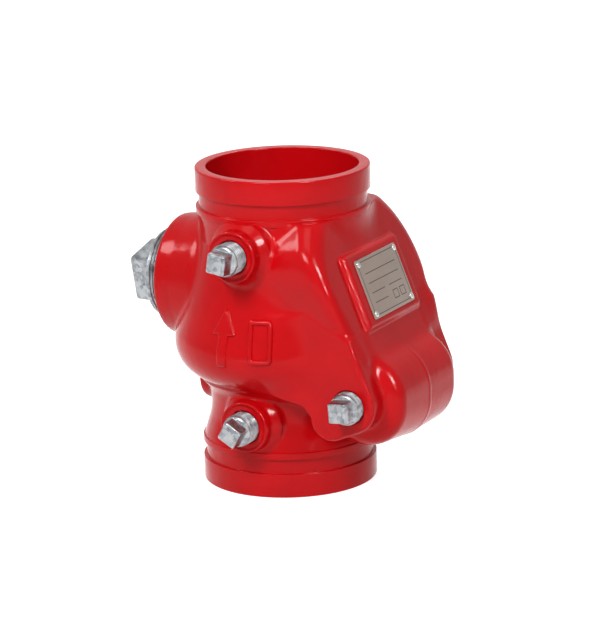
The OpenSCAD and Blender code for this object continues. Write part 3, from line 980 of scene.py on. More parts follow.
@dataclass
class ValveCasting:
    """The one-piece body: bell, necks, hinge bosses, knuckle, clapper pocket and port bosses.

    A name that ends in _r is a radius, in _y a half width along the pin, in _edge the round of an
    outer corner and in _fillet a width for join().
    """

    layout: Layout
    paint: Paintbox
    # bell, waist and necks
    bell_r: float = 73.6
    bell_z: float = 94.5
    bell_round: float = 24.5
    waist: Point = (55.0, 162.6)
    necks: Point = (27.0, 182.6)
    # hinge bosses and the belly between them, under the seat
    lug_r: float = 18.0
    lug_y: float = 60.0
    lug_edge: float = 2.6
    lug_start: float = 186.0
    lug_drops: tuple[Point, ...] = ((0.14, 11.5), (0.35, 15.4), (0.52, 17.2), (0.65, 18.8))
    belly_y: float = 44.0
    belly_edge: float = 8.0
    belly_fillet: float = 5.0
    belly_start: float = 222.0
    belly_drops: tuple[Point, ...] = ((0.14, 12.0), (0.42, 18.0), (0.62, 24.5))
    foot_in: float = 14.0
    foot_under: float = 10.6
    foot_r: float = 13.8
    # knuckle round the pin
    knuckle_r: float = 29.0
    knuckle_y: float = 43.0
    knuckle_edge: float = 9.0
    knuckle_fillet: float = 4.5
    knuckle_drop: Point = (1.6, 6.2)
    knuckle_span: Point = (-42.0, 0.0)
    # clapper pocket, its cheeks and its flanks
    pocket_r: float = 73.0
    pocket_up: float = 64.8
    pocket_edge: float = 14.0
    pocket_back: float = 38.0
    pocket_low: float = 18.0
    cheek_end: Point = (76.6, 112.7)
    cheek_crest: Point = (44.2, 128.9)
    cheek_edge: float = 10.0
    crest_z: float = 183.6
    crest_edge: float = 3.0
    flank_slope: Point = (0.3, 1.2)
    flank_fillet: Point = (2.5, 12.0)
    flank_span: Point = (36.0, 56.0)
    bell_fillet: float = 7.0
    # nameplate pad
    pad: Point = (50.7, 75.1)
    pad_up: float = 64.8
    pad_out: float = 22.8
    pad_root: float = 4.0
    pad_corner: float = 3.0
    pad_edge: float = 0.4
    pad_bevel: float = 2.3
    pad_bevel_edge: float = 0.7
    pad_draft: float = 0.12
    pad_fillet: float = 1.5
    # parting line of the mould
    seam_deep: float = 0.28
    seam_wide: float = 1.3
    seam_near: Point = (80.0, 96.0)
    seam_fade: float = 10.0
    # rooms for the clapper, open and shut, and for its arms
    room_y: float = 26.5
    room_r: float = 57.0
    room_up: float = 68.0
    room_side: float = 54.0
    room_top: float = 181.2
    room_deep: float = 40.0
    shut_r: float = 53.5
    shut_over: Point = (-5.0, 25.0)
    # seat tower and the waterway through it; heights are over the seat plane
    tower_r: float = 51.0
    tower_top: float = -2.5
    seat_r: float = 41.0
    seat_low: float = -14.5
    ring_r: float = 45.52
    ring_over: Point = (-10.0, 20.0)
    bore_r: float = 49.8
    throat_r: float = 41.5
    throat_z: Point = (14.0, 48.0)
    throat_top: float = -13.0
    # ports: reach and height of a boss, radius and depth of a hole
    ports: tuple[Point, ...] = ((74.2, 163.0), (64.6, 48.0))
    port_thread: Point = (10.8, 13.5)
    port_hole_r: float = 8.65
    port_depths: Point = (32.0, 26.0)
    port_fillet: float = 3.0
    drain: Point = (79.0, 129.5)
    drain_thread: Point = (30.3, 18.0)
    drain_hole: Point = (26.15, 40.0)
    drain_fillet: float = 2.5
    blank: Point = (60.0, 63.0)
    blank_fillet: float = 4.0
    hinge_thread_r: float = 10.8
    hinge_thread_y: float = 46.0
    bearing_r: float = 8.02
    bearing_y: float = 50.0
    lip: float = 0.7
    cell: float = 1.1
    outlines: dict[str, Outline] = field(default_factory=dict)

    def __post_init__(self) -> None:
        """Measures the outlines once."""
        centre = (self.bell_r - self.bell_round, self.bell_z)
        crown = flowing([self.waist, (54.9, 168.0), (55.3, 174.0), (56.2, 180.0), (56.4, 186.0)])
        neck = [(56.4, 22.0), (56.2, 29.0), (54.0, 37.0), (51.7, 45.0), (50.8, 54.0), (52.3, 62.5)]
        foot = flowing([*neck, (57.2, 69.0)])
        start = math.degrees(math.atan2(69.0 - centre[1], 57.2 - centre[0])) + 3
        side = arc(centre, self.bell_round, start, touch(self.waist, centre, self.bell_round))
        inner = self.bell_round - self.layout.wall
        roof = (self.waist[0] - self.layout.wall, self.waist[1])
        room = [
            (-30, self.bell_z - inner),
            *arc(centre, inner, -90, touch(roof, centre, inner)),
            *flowing([roof, (48.0, 168.0), (48.2, 174.2), (49.2, 180.0), (49.8, 184.2)]),
            (self.bore_r, 215),
            (-30, 215),
        ]
        drain = [(39.8, 0), (41.6, -14), (45.2, -30), (46.6, -46)]
        port = [(17, 0), (17.2, -8), (21.5, -13.5), (21.5, -30)]
        self.outlines = {
            "bell": Outline([(-30, 22), *foot, *side, *crown, (-30, 186)]),
            "room": Outline(room),
            "lug": Outline(self.lug_outline(deep=False)),
            "belly": Outline(self.lug_outline(deep=True)),
            "drain": boss_outline(drain, (2.6, 8, 8)),
            "port": boss_outline(port, (1.7, 2.4, 2)),
            "blank": boss_outline([(16, 0), (17.5, -10), (17.5, -24)], (2.6, 3)),
        }

    def lug_outline(self, deep: bool) -> list[Point]:
        """Outline of the hinge bosses, seen along the pin.

        Args:
            deep: Whether it is the belly under the seat, between the boss faces.

        Returns:
            Corners of the outline.
        """
        pin, lean = self.layout.pin, self.layout.lean
        sx, sz = self.layout.seat_x, self.layout.seat_z
        foot, foot_r = (pin[0] - self.foot_in, pin[1] - self.foot_under), self.foot_r
        under = foot[0] - sx
        bearing = math.atan2(pin[1] - foot[1], pin[0] - foot[0])
        low = math.degrees(bearing - math.acos((foot_r - self.lug_r) / math.dist(pin, foot)))
        start = self.belly_start if deep else self.lug_start
        drops = self.belly_drops if deep else self.lug_drops
        places = [(sx + share * under, sz - drop) for share, drop in drops]
        heel = arc(foot, foot_r, start - 7, start - 7, 1)[0]
        return [
            (sx - 28, sz + 26),
            (sx - 28, sz - 2),
            *flowing([(sx - 4, sz - 7), *places, heel], 6),
            *arc(foot, foot_r, start, low + 360, 14),
            *arc(pin, self.lug_r, low, lean, 18),
            self.cheek_end,
            self.cheek_crest,
            (sx + 18, sz + 39),
        ]

    def pocket(self, x: Array, y: Array, z: Array) -> Array:
        """Distance to the drum over the open clapper, between its sloping flanks.

        Args:
            x: Places along X.
            y: Places along Y.
            z: Places along Z.

        Returns:
            The distance at each place.
        """
        out, up = self.layout.seen_from_pocket(x, z)
        drum = np.hypot(np.maximum(up - self.pocket_up, 0), y) - self.pocket_r
        drum = rounded(drum, out - self.layout.pocket_face, self.pocket_edge)
        drum = meet(np.maximum(drum, -out - self.pocket_back), self.pocket_low - up, self.cheek_edge)
        (ax, az), (bx, bz) = self.cheek_end, self.cheek_crest
        cheek = math.dist(self.cheek_end, self.cheek_crest)
        above = ((x - ax) * (bz - az) + (z - az) * (ax - bx)) / cheek
        slant = np.where(y < 0, *self.flank_slope)
        side = (np.abs(y) - self.lug_y - slant * above) / np.hypot(1, slant)
        return meet(meet(drum, side, self.cheek_edge), z - self.crest_z, self.crest_edge)

    def knuckle(self, x: Array, y: Array, z: Array) -> Array:
        """Distance to the knuckle round the pin, stretched down more towards its rear.

        Args:
            x: Places along X.
            y: Places along Y.
            z: Places along Z.

        Returns:
            The distance at each place.
        """
        pin = self.layout.pin
        drop = np.clip(pin[1] - z, 0, np.interp(y, self.knuckle_span, self.knuckle_drop))
        barrel = np.hypot(x - pin[0], z - pin[1] + drop) - self.knuckle_r
        return rounded(barrel, np.abs(y) - self.knuckle_y, self.knuckle_edge)

    def plate_pad(self, x: Array, y: Array, z: Array) -> Array:
        """Distance to the drafted and bevelled pad under the nameplate.

        Args:
            x: Places along X.
            y: Places along Y.
            z: Places along Z.

        Returns:
            The distance at each place.
        """
        out, up = self.layout.seen_from_pocket(x, z)
        over, draft = out - self.pad_out, self.pad_draft * (self.pad_out - out)
        tall, wide = np.abs(up - self.pad_up) - self.pad[0] / 2, np.abs(y) - self.pad[1] / 2
        pad = rounded(tall - draft, wide - draft, self.pad_corner)
        bevel = (pad + over + self.pad_bevel) / math.sqrt(2)
        pad = meet(rounded(pad, over, self.pad_edge), bevel, self.pad_bevel_edge)
        return np.maximum(pad, self.pad_root - out)

    def seam(self, x: Array, y: Array, z: Array) -> Array:
        """Height of the mould's parting line, which shows on the knuckle only.

        Args:
            x: Places along X.
            y: Places along Y.
            z: Places along Z.

        Returns:
            The height at each place.
        """
        ridge = self.seam_deep * np.exp(-((y / self.seam_wide) ** 2))
        near = np.clip((x - self.seam_near[0]) / self.seam_fade, 0, 1)
        return ridge * near * np.clip((self.seam_near[1] - z) / self.seam_fade, 0, 1)

    def outside(self, x: Array, y: Array, z: Array) -> Array:
        """Distance to the casting's outer form.

        Args:
            x: Places along X.
            y: Places along Y.
            z: Places along Z.

        Returns:
            The distance at each place.
        """
        lugs = rounded(self.outlines["lug"].at(x, z), np.abs(y) - self.lug_y, self.lug_edge)
        belly = rounded(self.outlines["belly"].at(x, z), np.abs(y) - self.belly_y, self.belly_edge)
        lugs = join(lugs, belly, self.belly_fillet)
        flank = join(lugs, self.pocket(x, y, z), np.interp(y, self.flank_span, self.flank_fillet))
        form = join(self.outlines["bell"].at(np.hypot(x, y), z), flank, self.bell_fillet)
        form = join(form, self.knuckle(x, y, z), self.knuckle_fillet)
        for name, (reach, height), fillet in (
            ("drain", self.drain, self.drain_fillet),
            ("blank", self.blank, self.blank_fillet),
        ):
            boss = self.outlines[name].at(np.hypot(y, z - height), -x - reach)
            form = join(form, boss, fillet)
        for reach, height in self.ports:
            boss = self.outlines["port"].at(np.hypot(x, z - height), -y - reach)
            form = join(form, boss, self.port_fillet)
        form = join(form, self.plate_pad(x, y, z), self.pad_fillet) - self.seam(x, y, z)
        return np.maximum(form, np.maximum(self.necks[0] - z, z - self.necks[1]))

    def hollow(self, x: Array, y: Array, z: Array) -> Array:
        """Distance to the room inside the casting.

        Args:
            x: Places along X.
            y: Places along Y.
            z: Places along Z.

        Returns:
            The distance at each place.
        """
        pin, wall = self.layout.pin, self.layout.wall
        out, up = self.layout.seen_from_pocket(x, z)
        along, over = self.layout.seen_from_seat(x, z)
        r, from_seat = np.hypot(x, y), np.hypot(along, y)
        from_pin, side = np.hypot(x - pin[0], z - pin[1]), np.abs(y)
        room = self.outlines["room"].at(r, z)
        low, high = self.shut_over
        shut = rounded(from_seat - self.shut_r, np.abs(over - (high + low) / 2) - (high - low) / 2, 3)
        room = join(room, shut, 3)
        room = join(room, rounded(from_pin - self.knuckle_r + wall, side - self.room_y, 2), 3)
        deep = out - self.layout.pocket_face + wall + self.room_deep / 2
        drum = np.hypot(up - self.room_up, y) - self.room_r
        pocket = rounded(drum, np.abs(deep) - self.room_deep / 2, 4)
        pocket = np.maximum(pocket, side - self.room_side)
        room = join(room, meet(pocket, z - self.room_top, 3), 4)
        tower = rounded(from_seat - self.tower_r, over - self.tower_top, 1.5)
        bosses = np.maximum(from_pin - self.lug_r, self.room_y - side)
        room = meet(meet(room, -tower, 2.5), -bosses, 2.5)
        start, stop = self.throat_z
        taper = np.clip((z - start) / (stop - start), 0, 1) * (self.bore_r - self.throat_r)
        throat = np.maximum(r - self.bore_r + taper, over - self.throat_top)
        bore = np.maximum(from_seat - self.seat_r, np.maximum(over, self.seat_low - over))
        low, high = self.ring_over
        step = np.maximum(from_seat - self.ring_r, np.maximum(over - high, low - over))
        room = np.minimum(np.minimum(room, throat), np.minimum(bore, step))
        return np.minimum(room, self.drilled(x, y, z))

    def drilled(self, x: Array, y: Array, z: Array) -> Array:
        """Distance to the tapped and drilled holes.

        Args:
            x: Places along X.
            y: Places along Y.
            z: Places along Z.

        Returns:
            The distance at each place.
        """
        pin = self.layout.pin
        from_pin, side = np.hypot(x - pin[0], z - pin[1]), np.abs(y)
        thread = np.maximum(from_pin - self.hinge_thread_r, self.hinge_thread_y - side)
        bearing = np.maximum(side - self.bearing_y, self.room_y - 2 - side)
        holes = np.minimum(thread, np.maximum(from_pin - self.bearing_r, bearing))
        for (reach, height), depth in zip(self.ports, self.port_depths):
            radial, hole = np.hypot(x, z - height), (self.port_hole_r, depth)
            holes = np.minimum(holes, drill(radial, -y - reach, self.port_thread, hole))
        reach, height = self.drain
        radial = np.hypot(y, z - height)
        drain = drill(radial, -x - reach, self.drain_thread, self.drain_hole)
        return np.minimum(holes, drain)

    def metal(self, x: Array, y: Array, z: Array) -> Array:
        """Distance to the whole casting."""
        return meet(self.outside(x, y, z), -self.hollow(x, y, z), self.lip)

    def build(self) -> None:
        """Casts the middle of the body and paints it."""
        cell = self.cell
        casting = cast_object("valve_casting", self.metal, (-92, -78, 25), (106, 78, 184.5), cell)
        self.paint.settle(casting, Surface.ENAMEL, HOUSING, "body")


@dataclass
class GroovedEnd:
    """A turned end for a pipe coupling: land, groove and a short collar over the neck."""

    name: str
    layout: Layout
    paint: Paintbox
    outlet: bool
    outer: float = 57.15
    root: float = 55.04
    bore: float = 49.8
    land: float = 15.88
    groove: float = 25.4
    collar: float = 29.8
    outlet_mouth: Point = (49.07, 29.0)
    inlet_mouth: Point = (45.7, 30.4)
    inlet_straight: float = 14.0

    def build(self) -> None:
        """Turns the end and paints it."""
        mouth = self.outlet_mouth if self.outlet else self.inlet_mouth
        straight = self.groove if self.outlet else self.inlet_straight
        section = [
            (self.bore, 0),
            (self.outer, 0),
            (self.outer, self.land),
            (self.root, self.land),
            (self.root, self.groove),
            (self.outer, self.groove),
            (self.outer - 0.1, self.collar),
            (self.outer - 3, self.collar + 0.9),
            (mouth[0] + 3, mouth[1]),
            mouth,
            (self.bore, straight),
        ]
        rounds = [1.0, 1.1, 0.5, 0.35, 0.35, 0.7, 0.8, 0, 0, 0, 0]
        vertices, faces = turned(softened(section, rounds))
        if self.outlet:
            vertices[:, 2] = self.layout.length - vertices[:, 2]
            faces = [tuple(reversed(f)) for f in faces]
        self.paint.settle(mesh_object(self.name, vertices, faces), Surface.ENAMEL, HOUSING, "body")


@dataclass
class CastMarks:
    """Plain raised marks on the front of the bell: a flow arrow and a blank tablet's rim."""

    casting: ValveCasting
    paint: Paintbox
    arrow_size: Point = (17.0, 36.0)
    arrow_place: Point = (-7.0, 109.0)
    tablet_size: Point = (13.0, 25.0)
    tablet_place: Point = (14.0, 108.0)
    rim: float = 2.2
    proud: float = 1.9
    root: float = 1.2
    spread: float = 0.4
    edge: float = 0.8
    bell_r: float = 68.0
    room: Point = (9.0, 3.0)

    def raise_mark(
        self, name: str, place: Point, half: Point, shape: Callable[[Array, Array], Array]
    ) -> None:
        """Casts one raised mark that follows the bell.

        Args:
            name: Name of the piece.
            place: Bearing from the front, in degrees, and height.
            half: Half of the mark's width and height.
            shape: Distance to the mark's outline, across and up from its middle.
        """
        (c, s), middle = cos_sin(place[0]), place[1]

        def relief(x: Array, y: Array, z: Array) -> Array:
            """Distance to a skin over the bell.

            Args:
                x: Places along X.
                y: Places along Y.
                z: Places along Z.

            Returns:
                The distance at each place.
            """
            base = self.casting.outside(x, y, z)
            over = base - self.proud
            raised = rounded(shape(x * c + y * s, z - middle) + self.spread * over, over, self.edge)
            return np.maximum(np.maximum(raised, -self.root - base), y * c - x * s)

        spot = (self.bell_r * s, -self.bell_r * c)
        wide, tall = half[0] + self.room[0], half[1] + self.room[1]
        low = [spot[0] - wide, spot[1] - wide, middle - tall]
        high = [spot[0] + wide, spot[1] + wide, middle + tall]
        mark = cast_object(name, relief, low, high, 0.5)
        self.paint.settle(mark, Surface.ENAMEL, HOUSING)

    def build(self) -> None:
        """Raises the arrow, then the rim of the tablet."""
        w, h = self.arrow_size[0] / 2, self.arrow_size[1] / 2
        neck, barb = 0.36 * w, 0.12 * h
        corners = [(-neck, -h), (neck, -h), (neck, barb), (w, barb), (0, h), (-w, barb), (-neck, barb)]
        arrow = Outline(softened(corners, [0.6, 0.6, 0.6, 0.8, 1.0, 0.8, 0.6]), 0.25, 6)
        self.raise_mark("flow_arrow", self.arrow_place, (w, h), arrow.at)
        a, b = self.tablet_size[0] / 2, self.tablet_size[1] / 2
        tablet = Outline(softened([(-a, -b), (a, -b), (a, b), (-a, b)], [2.5] * 4, 6), 0.25, 6)

        def rim(u: Array, v: Array) -> Array:
            """Distance to a band along the tablet's outline."""
            return np.abs(tablet.at(u, v)) - self.rim / 2

        self.raise_mark("blank_tablet_rim", self.tablet_place, (a, b), rim)


@dataclass
class PipePlug:
    """Square-headed pipe plug; its own frame has the boss face at 0 and the head up Z."""

    node: str
    matrix: Matrix
    paint: Paintbox
    radius: float
    inside: float
    stand: float
    square: float
    head: float
    turn: float
    pitch: float
    depth: float
    runout: float = 1.4
    slack: float = 0.05

    def threaded(self) -> list[Array]:
        """Rings of the threaded body, from its inner end to its shoulder.

        Returns:
            The rings.
        """
        turns, lead = around(RING) / (2 * math.pi), 0.8 * self.pitch
        start, stop = -min(self.inside, 2.5 * self.pitch), self.stand - self.runout
        rings = [circle(self.radius - 1.2, -self.inside), circle(self.radius - self.depth, start - 0.6)]
        for z in np.arange(start, stop, self.pitch / 10):
            phase = (z / self.pitch - turns) % 1.0
            crest = np.clip(1.35 - 3.0 * np.abs(phase - 0.5), 0, 1)
            fade = np.clip((z - start) / self.pitch, 0, 1) * np.clip((stop - z) / lead, 0, 1)
            rings.append(circle(self.radius - self.slack - self.depth * (1 - crest * fade), z))
        return rings

    def squared(self, half: float, corner: float, z: float) -> Array:
        """Ring of points round the square head, with rounded corners.

        Args:
            half: Half of the square's width.
            corner: Round of its corners.
            z: Height of the ring.

        Returns:
            The points of the ring.
        """
        angles = around(RING) - math.radians(self.turn)
        a, b = np.abs(np.cos(angles)), np.abs(np.sin(angles))
        big, small, inner = np.maximum(a, b), np.minimum(a, b), half - corner
        p = (a + b) * inner
        on_round = p + np.sqrt(np.maximum(p * p - 2 * inner * inner + corner * corner, 0))
        return circle(np.where(small * half / big > inner, on_round, half / big), z)

    def build(self) -> None:
        """Rolls the thread, forges the head and plates the plug."""
        rim, half = self.radius - self.depth * 0.75, self.square / 2
        low, high, corner = self.stand, self.stand + self.head, 0.07 * self.square
        shoulder = ((0.2, -1.1), (0.8, -0.35), (1.7, 0.0))
        foot = ((0.9, 1.0, 0.05), (0.35, 0.5, 0.3), (0.05, 0.0, 0.9), (-0.1, 0.0, self.head * 0.5))
        crown = ((-0.25, 0.0, -1.0), (-0.45, 0.1, -0.45), (-0.85, 0.3, -0.12), (-1.6, 0.3, 0.0))
        rings = self.threaded() + [circle(rim - less, low + z) for less, z in shoulder]
        for base, steps in ((low, foot), (high, crown)):
            rings += [self.squared(half + more, corner + soft, base + z) for more, soft, z in steps]
        vertices, faces = loft(rings)
        item = mesh_object(self.node + "_dressed", placed(vertices, self.matrix), faces)
        self.paint.settle(item, Surface.ZINC, HOUSING, self.node)


@dataclass
class PortPlugs:
    """The five plugs: two gauge ports, two hinge ends and the drain."""

    casting: ValveCasting
    paint: Paintbox
    small: dict[str, float] = field(
        default_factory=lambda: {
            "radius": 10.65, "inside": 13.0, "square": 13.4, "head": 9.0, "pitch": 1.81, "depth": 0.6
        }
    )
    large: dict[str, float] = field(
        default_factory=lambda: {
            "radius": 30.15, "inside": 17.5, "square": 32.0, "head": 17.0, "pitch": 2.21, "depth": 1.0
        }
    )

    def screw(
        self, node: str, place: Sequence[float], facing: tuple[float, str], stand: float, turn: float
    ) -> None:
        """Screws one plug into its port.

        Args:
            node: CAD node of the plug.
            place: Middle of the boss face.
            facing: Turn that makes the plug look out of the port, as degrees and axis.
            stand: How far the shoulder stands out of the face.
            turn: Degrees that the square head is turned.
        """
        size = self.large if node == "drain_plug" else self.small
        matrix = Matrix.Translation(place) @ Matrix.Rotation(math.radians(facing[0]), 4, facing[1])
        PipePlug(node, matrix, self.paint, stand=stand, turn=turn, **size).build()

    def build(self) -> None:
        """Screws every plug into its port."""
        (px, pz), side = self.casting.layout.pin, self.casting.lug_y
        (outlet, outlet_z), (inlet, inlet_z) = self.casting.ports
        drain, drain_z = self.casting.drain
        front, rear, left = (90, "X"), (-90, "X"), (-90, "Y")
        self.screw("gauge_plug_outlet", (0, -outlet, outlet_z), front, 9.9, -9.0)
        self.screw("gauge_plug_inlet", (0, -inlet, inlet_z), front, 9.3, 59.0)
        self.screw("hinge_plug_front", (px, -side, pz), front, 7.0, 4.0)
        self.screw("hinge_plug_rear", (px, side, pz), rear, 7.0, 22.0)
        self.screw("drain_plug", (-drain, 0, drain_z), left, 10.7, -13.0)


@dataclass
class Nameplate:
    """Bare data plate on its pad, held by four rivets."""

    layout: Layout
    paint: Paintbox
    size: Point = (39.7, 57.1)
    thick: float = 1.0
    out: float = 22.82
    up: float = 64.8
    inset: float = 3.1
    line: float = 0.55
    film: float = 0.03
    margin: float = 1.9
    rules: tuple[tuple[float, float, float], ...] = (
        (-9.5, -21, 21), (-3.0, -21, 21), (3.5, -21, -3), (3.5, 3, 21), (10.0, -21, -3)
    )
    boxes: tuple[Point, ...] = ((10.5, 8.0), (10.5, 17.5))
    box: Point = (3.0, 3.4)
    head_r: float = 2.1
    shank_r: float = 1.2

    def bar(self, low: Point, high: Point) -> tuple[Array, Faces]:
        """Printed bar between two corners of the plate's face.

        Args:
            low: Lower left corner.
            high: Upper right corner.

        Returns:
            Vertices and faces.
        """
        corners = [low, (high[0], low[1]), high, (low[0], high[1])]
        levels = (self.thick - self.film, self.thick + self.film)
        return loft([np.array([(x, y, z) for x, y in corners]) for z in levels])

    def printed(self) -> list[tuple[Array, Faces]]:
        """Border, rules of blank data fields and two blank boxes.

        Returns:
            Vertices and faces of each printed part.
        """
        w, h = self.size[0] / 2 - self.margin, self.size[1] / 2 - self.margin
        under, top, line = self.thick - self.film, self.thick + self.film, self.line
        section = ((0.0, under), (0.0, top), (line, top), (line, under))
        pieces = [loft([plate_ring((w - s, h - s), 2.4, z) for s, z in section], close=False)]
        for x, start, stop in self.rules:
            pieces.append(self.bar((x - line / 2, start), (x + line / 2, stop)))
        for x, y in self.boxes:
            low, high = (x - self.box[0], y - self.box[1]), (x + self.box[0], y + self.box[1])
            pieces.append(self.bar(low, (low[0] + line, high[1])))
            pieces.append(self.bar((high[0] - line, low[1]), high))
            for edge in (low[1], high[1] - line):
                pieces.append(self.bar((low[0] + line, edge), (high[0] - line, edge + line)))
        return pieces

    def rivet(self, x: float, y: float) -> tuple[Array, Faces]:
        """Domed head and shank of one rivet.

        Args:
            x: Place across the plate.
            y: Place up the plate.

        Returns:
            Vertices and faces.
        """
        face, rim = self.thick + 0.02, self.thick + 0.25
        section = [(self.shank_r, -4.0), (self.shank_r, face), (self.head_r, face), (self.head_r, rim)]
        for c, s in (cos_sin(angle) for angle in (20, 40, 60, 78)):
            section.append((self.head_r * c, rim + 0.85 * s))
        return loft([circle(r, z, 28) + np.array((x, y, 0)) for r, z in section])

    def plate(self) -> tuple[Array, Faces]:
        """Sheet with rounded corners and a soft edge.

        Returns:
            Vertices and faces.
        """
        w, h, top = self.size[0] / 2, self.size[1] / 2, self.thick
        section = ((0.15, 0.0), (0.0, 0.15), (0.0, top - 0.25), (0.12, top - 0.07), (0.35, top))
        return loft([plate_ring((w - s, h - s), 1.6, z) for s, z in section])

    def build(self) -> None:
        """Lays the plate on the pad, prints it and rivets it."""
        matrix = self.layout.pocket_matrix(self.out, self.up)
        w, h = self.size[0] / 2 - self.inset, self.size[1] / 2 - self.inset
        heads = [self.rivet(i * w, j * h) for i in (-1, 1) for j in (-1, 1)]
        for name, pieces, surface, nodes in (
            ("nameplate_sheet", [self.plate()], Surface.PLATE, ["nameplate"]),
            ("nameplate_print", self.printed(), Surface.INK, []),
            ("nameplate_rivet_heads", heads, Surface.RIVET, ["nameplate_rivets"]),
        ):
            item = mesh_object(name, *placed_all(pieces, matrix))
            self.paint.settle(item, surface, HOUSING, *nodes)


@dataclass
class Clapper:
    """Clapper casting with its two hinge arms; facing and fixings keep their own nodes."""

    layout: Layout
    paint: Paintbox
    disc_r: float = 50.0
    facing_r: float = 47.0
    back_z: float = -4.75
    rim_z: float = -8.25
    boss_top: float = 11.5
    hub_r: float = 11.0
    eye_r: float = 8.02
    bolt_r: float = 5.1
    gap: float = 0.2
    arms: Point = (12.0, 24.0)
    cell: float = 0.8
    outlines: dict[str, Outline] = field(default_factory=dict)

    def __post_init__(self) -> None:
        """Measures the outlines once."""
        rim, edge, reach = self.rim_z, self.facing_r + self.gap, self.layout.reach
        disc = [
            (18, 3.0),
            (self.disc_r - 4, 0.4),
            (self.disc_r, -3.2),
            (self.disc_r, rim + 0.6),
            (self.disc_r - 0.6, rim),
            (edge, rim),
            (edge, self.back_z),
            (-20, self.back_z),
            (-20, self.boss_top),
            (12, self.boss_top),
            (13, 7),
        ]
        arm = [
            (0, self.hub_r - 0.1),
            (30 - reach, 7),
            (8 - reach, 3.6),
            (8 - reach, self.back_z + 1),
            (edge + self.gap - reach, self.back_z + 1),
            (self.disc_r - 1 - reach, rim + 1),
            (-0.7 * self.hub_r, -0.7 * self.hub_r),
            (0, 0),
        ]
        rounds = [6, 4, 1.2, 0, 0, 0, 0, 0, 0, 0.8, 4]
        self.outlines = {
            "disc": Outline(softened(disc, rounds), 0.4, 10),
            "arm": Outline(arm, 0.4, 10),
        }

    def metal(self, x: Array, y: Array, z: Array) -> Array:
        """Distance to the clapper casting.

        Args:
            x: Places along X.
            y: Places along Y.
            z: Places along Z.

        Returns:
            The distance at each place.
        """
        along, over = self.layout.seen_from_clapper(x, z)
        from_pin, from_disc = np.hypot(along, over), np.hypot(along + self.layout.reach, y)
        arm = join(self.outlines["arm"].at(along, over), from_pin - self.hub_r, 3)
        middle, half = sum(self.arms) / 2, (self.arms[1] - self.arms[0]) / 2
        arm = rounded(arm, np.abs(np.abs(y) - middle) - half, 1.8)
        form = join(self.outlines["disc"].at(from_disc, over), arm, 3.5)
        form = np.maximum(form, self.eye_r - from_pin)
        below = np.maximum(from_disc - self.facing_r - self.gap, over - self.back_z)
        bolt = np.maximum(from_disc - self.bolt_r, over - self.boss_top + 2)
        return meet(meet(form, -below, 0.5), -bolt, 0.4)

    def build(self) -> None:
        """Casts the clapper."""
        cell = self.cell
        item = cast_object("clapper_casting", self.metal, (-50, -53, 50), (90, 53, 118), cell)
        self.paint.settle(item, Surface.IRON, SWINGING, "clapper")


@dataclass
class ClosingSpring:
    """Torsion spring: a leg on the pocket wall, a coil round the pin, a leg on the clapper."""

    layout: Layout
    paint: Paintbox
    wire: float = 2.6
    coil_r: float = 10.25
    turns: int = 4
    leave: float = 215.0
    leg: float = 30.0
    rest: float = 34.0
    lie_z: float = 2.73
    sides: int = 16

    def path(self) -> Array:
        """Middle line of the wire in the clapper's frame.

        Returns:
            Points along the line, one to a row.
        """
        wall_angle = self.layout.lean + self.layout.seat_tilt
        sweep = 360 * self.turns + 360 - self.leave + wall_angle
        half = (self.wire + 0.5) * sweep / 720
        c, s = cos_sin(wall_angle)
        start, out = self.coil_r * np.array([c, s]), np.array([-s, c])
        points = [(*(start + k * self.leg * out), -half) for k in np.linspace(1, 0.12, 12)]
        for t in np.linspace(0, 1, 36 * self.turns):
            c, s = cos_sin(wall_angle - t * sweep)
            points.append((self.coil_r * c, self.coil_r * s, half * (2 * t - 1)))
        c, s = cos_sin(self.leave)
        lift, rise = self.coil_r * np.array([c, s]), np.array([s, -c])
        bend = lift + (self.lie_z - lift[1]) / rise[1] * rise
        corner = [bend - 3.0 * rise, bend, bend + np.array([-3.0, 0])]
        for t in np.linspace(0, 1, 9):
            q = corner[0] * (1 - t) ** 2 + corner[1] * 2 * t * (1 - t) + corner[2] * t * t
            points.append((q[0], q[1], half))
        points += [(q, self.lie_z, half) for q in np.linspace(corner[2][0] - 2, -self.rest, 6)]
        return np.array([(u, y, w) for u, w, y in points])

    def build(self) -> None:
        """Draws the wire round the pin of the shut clapper."""
        path = self.path()
        tangent = np.gradient(path, axis=0)
        tangent /= np.linalg.norm(tangent, axis=1)[:, None]
        u = np.cross(tangent, [0.0, 1.0, 0.0])
        u /= np.linalg.norm(u, axis=1)[:, None]
        v = np.cross(u, tangent)
        rim = circle(self.wire / 2, 0, self.sides)
        vertices, faces = loft([p + rim[:, :1] * a + rim[:, 1:2] * b for p, a, b in zip(path, u, v)])
        item = mesh_object("torsion_spring_wire", placed(vertices, self.layout.clapper_matrix()), faces)
        self.paint.dress(item, Surface.WIRE)
        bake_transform(item)
        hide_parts("closing_spring")
        LOG.info("%s twists between %s and %s", item.name, HOUSING, SWINGING)


@dataclass
class HingeAndSeat:
    """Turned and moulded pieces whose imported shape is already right; each gets its own finish."""

    paint: Paintbox
    finishes: dict[Surface, tuple[str, ...]] = field(
        default_factory=lambda: {
            Surface.STAINLESS: (
                "seat_ring", "facing_retainer", "retainer_washer", "retainer_bolt", "hinge_pin"
            ),
            Surface.RUBBER: ("seat_seal", "clapper_facing"),
            Surface.BRONZE: (
                "arm_bushing_front", "arm_bushing_rear", "hinge_spacer_front",
                "hinge_spacer_rear", "pin_bushing_front", "pin_bushing_rear",
            ),
        }
    )

    def build(self) -> None:
        """Dresses the nodes."""
        for surface, nodes in self.finishes.items():
            for node in nodes:
                self.paint.dress(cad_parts[node], surface)
                LOG.info("%s keeps its packed shape in %s", node, surface.value.name)


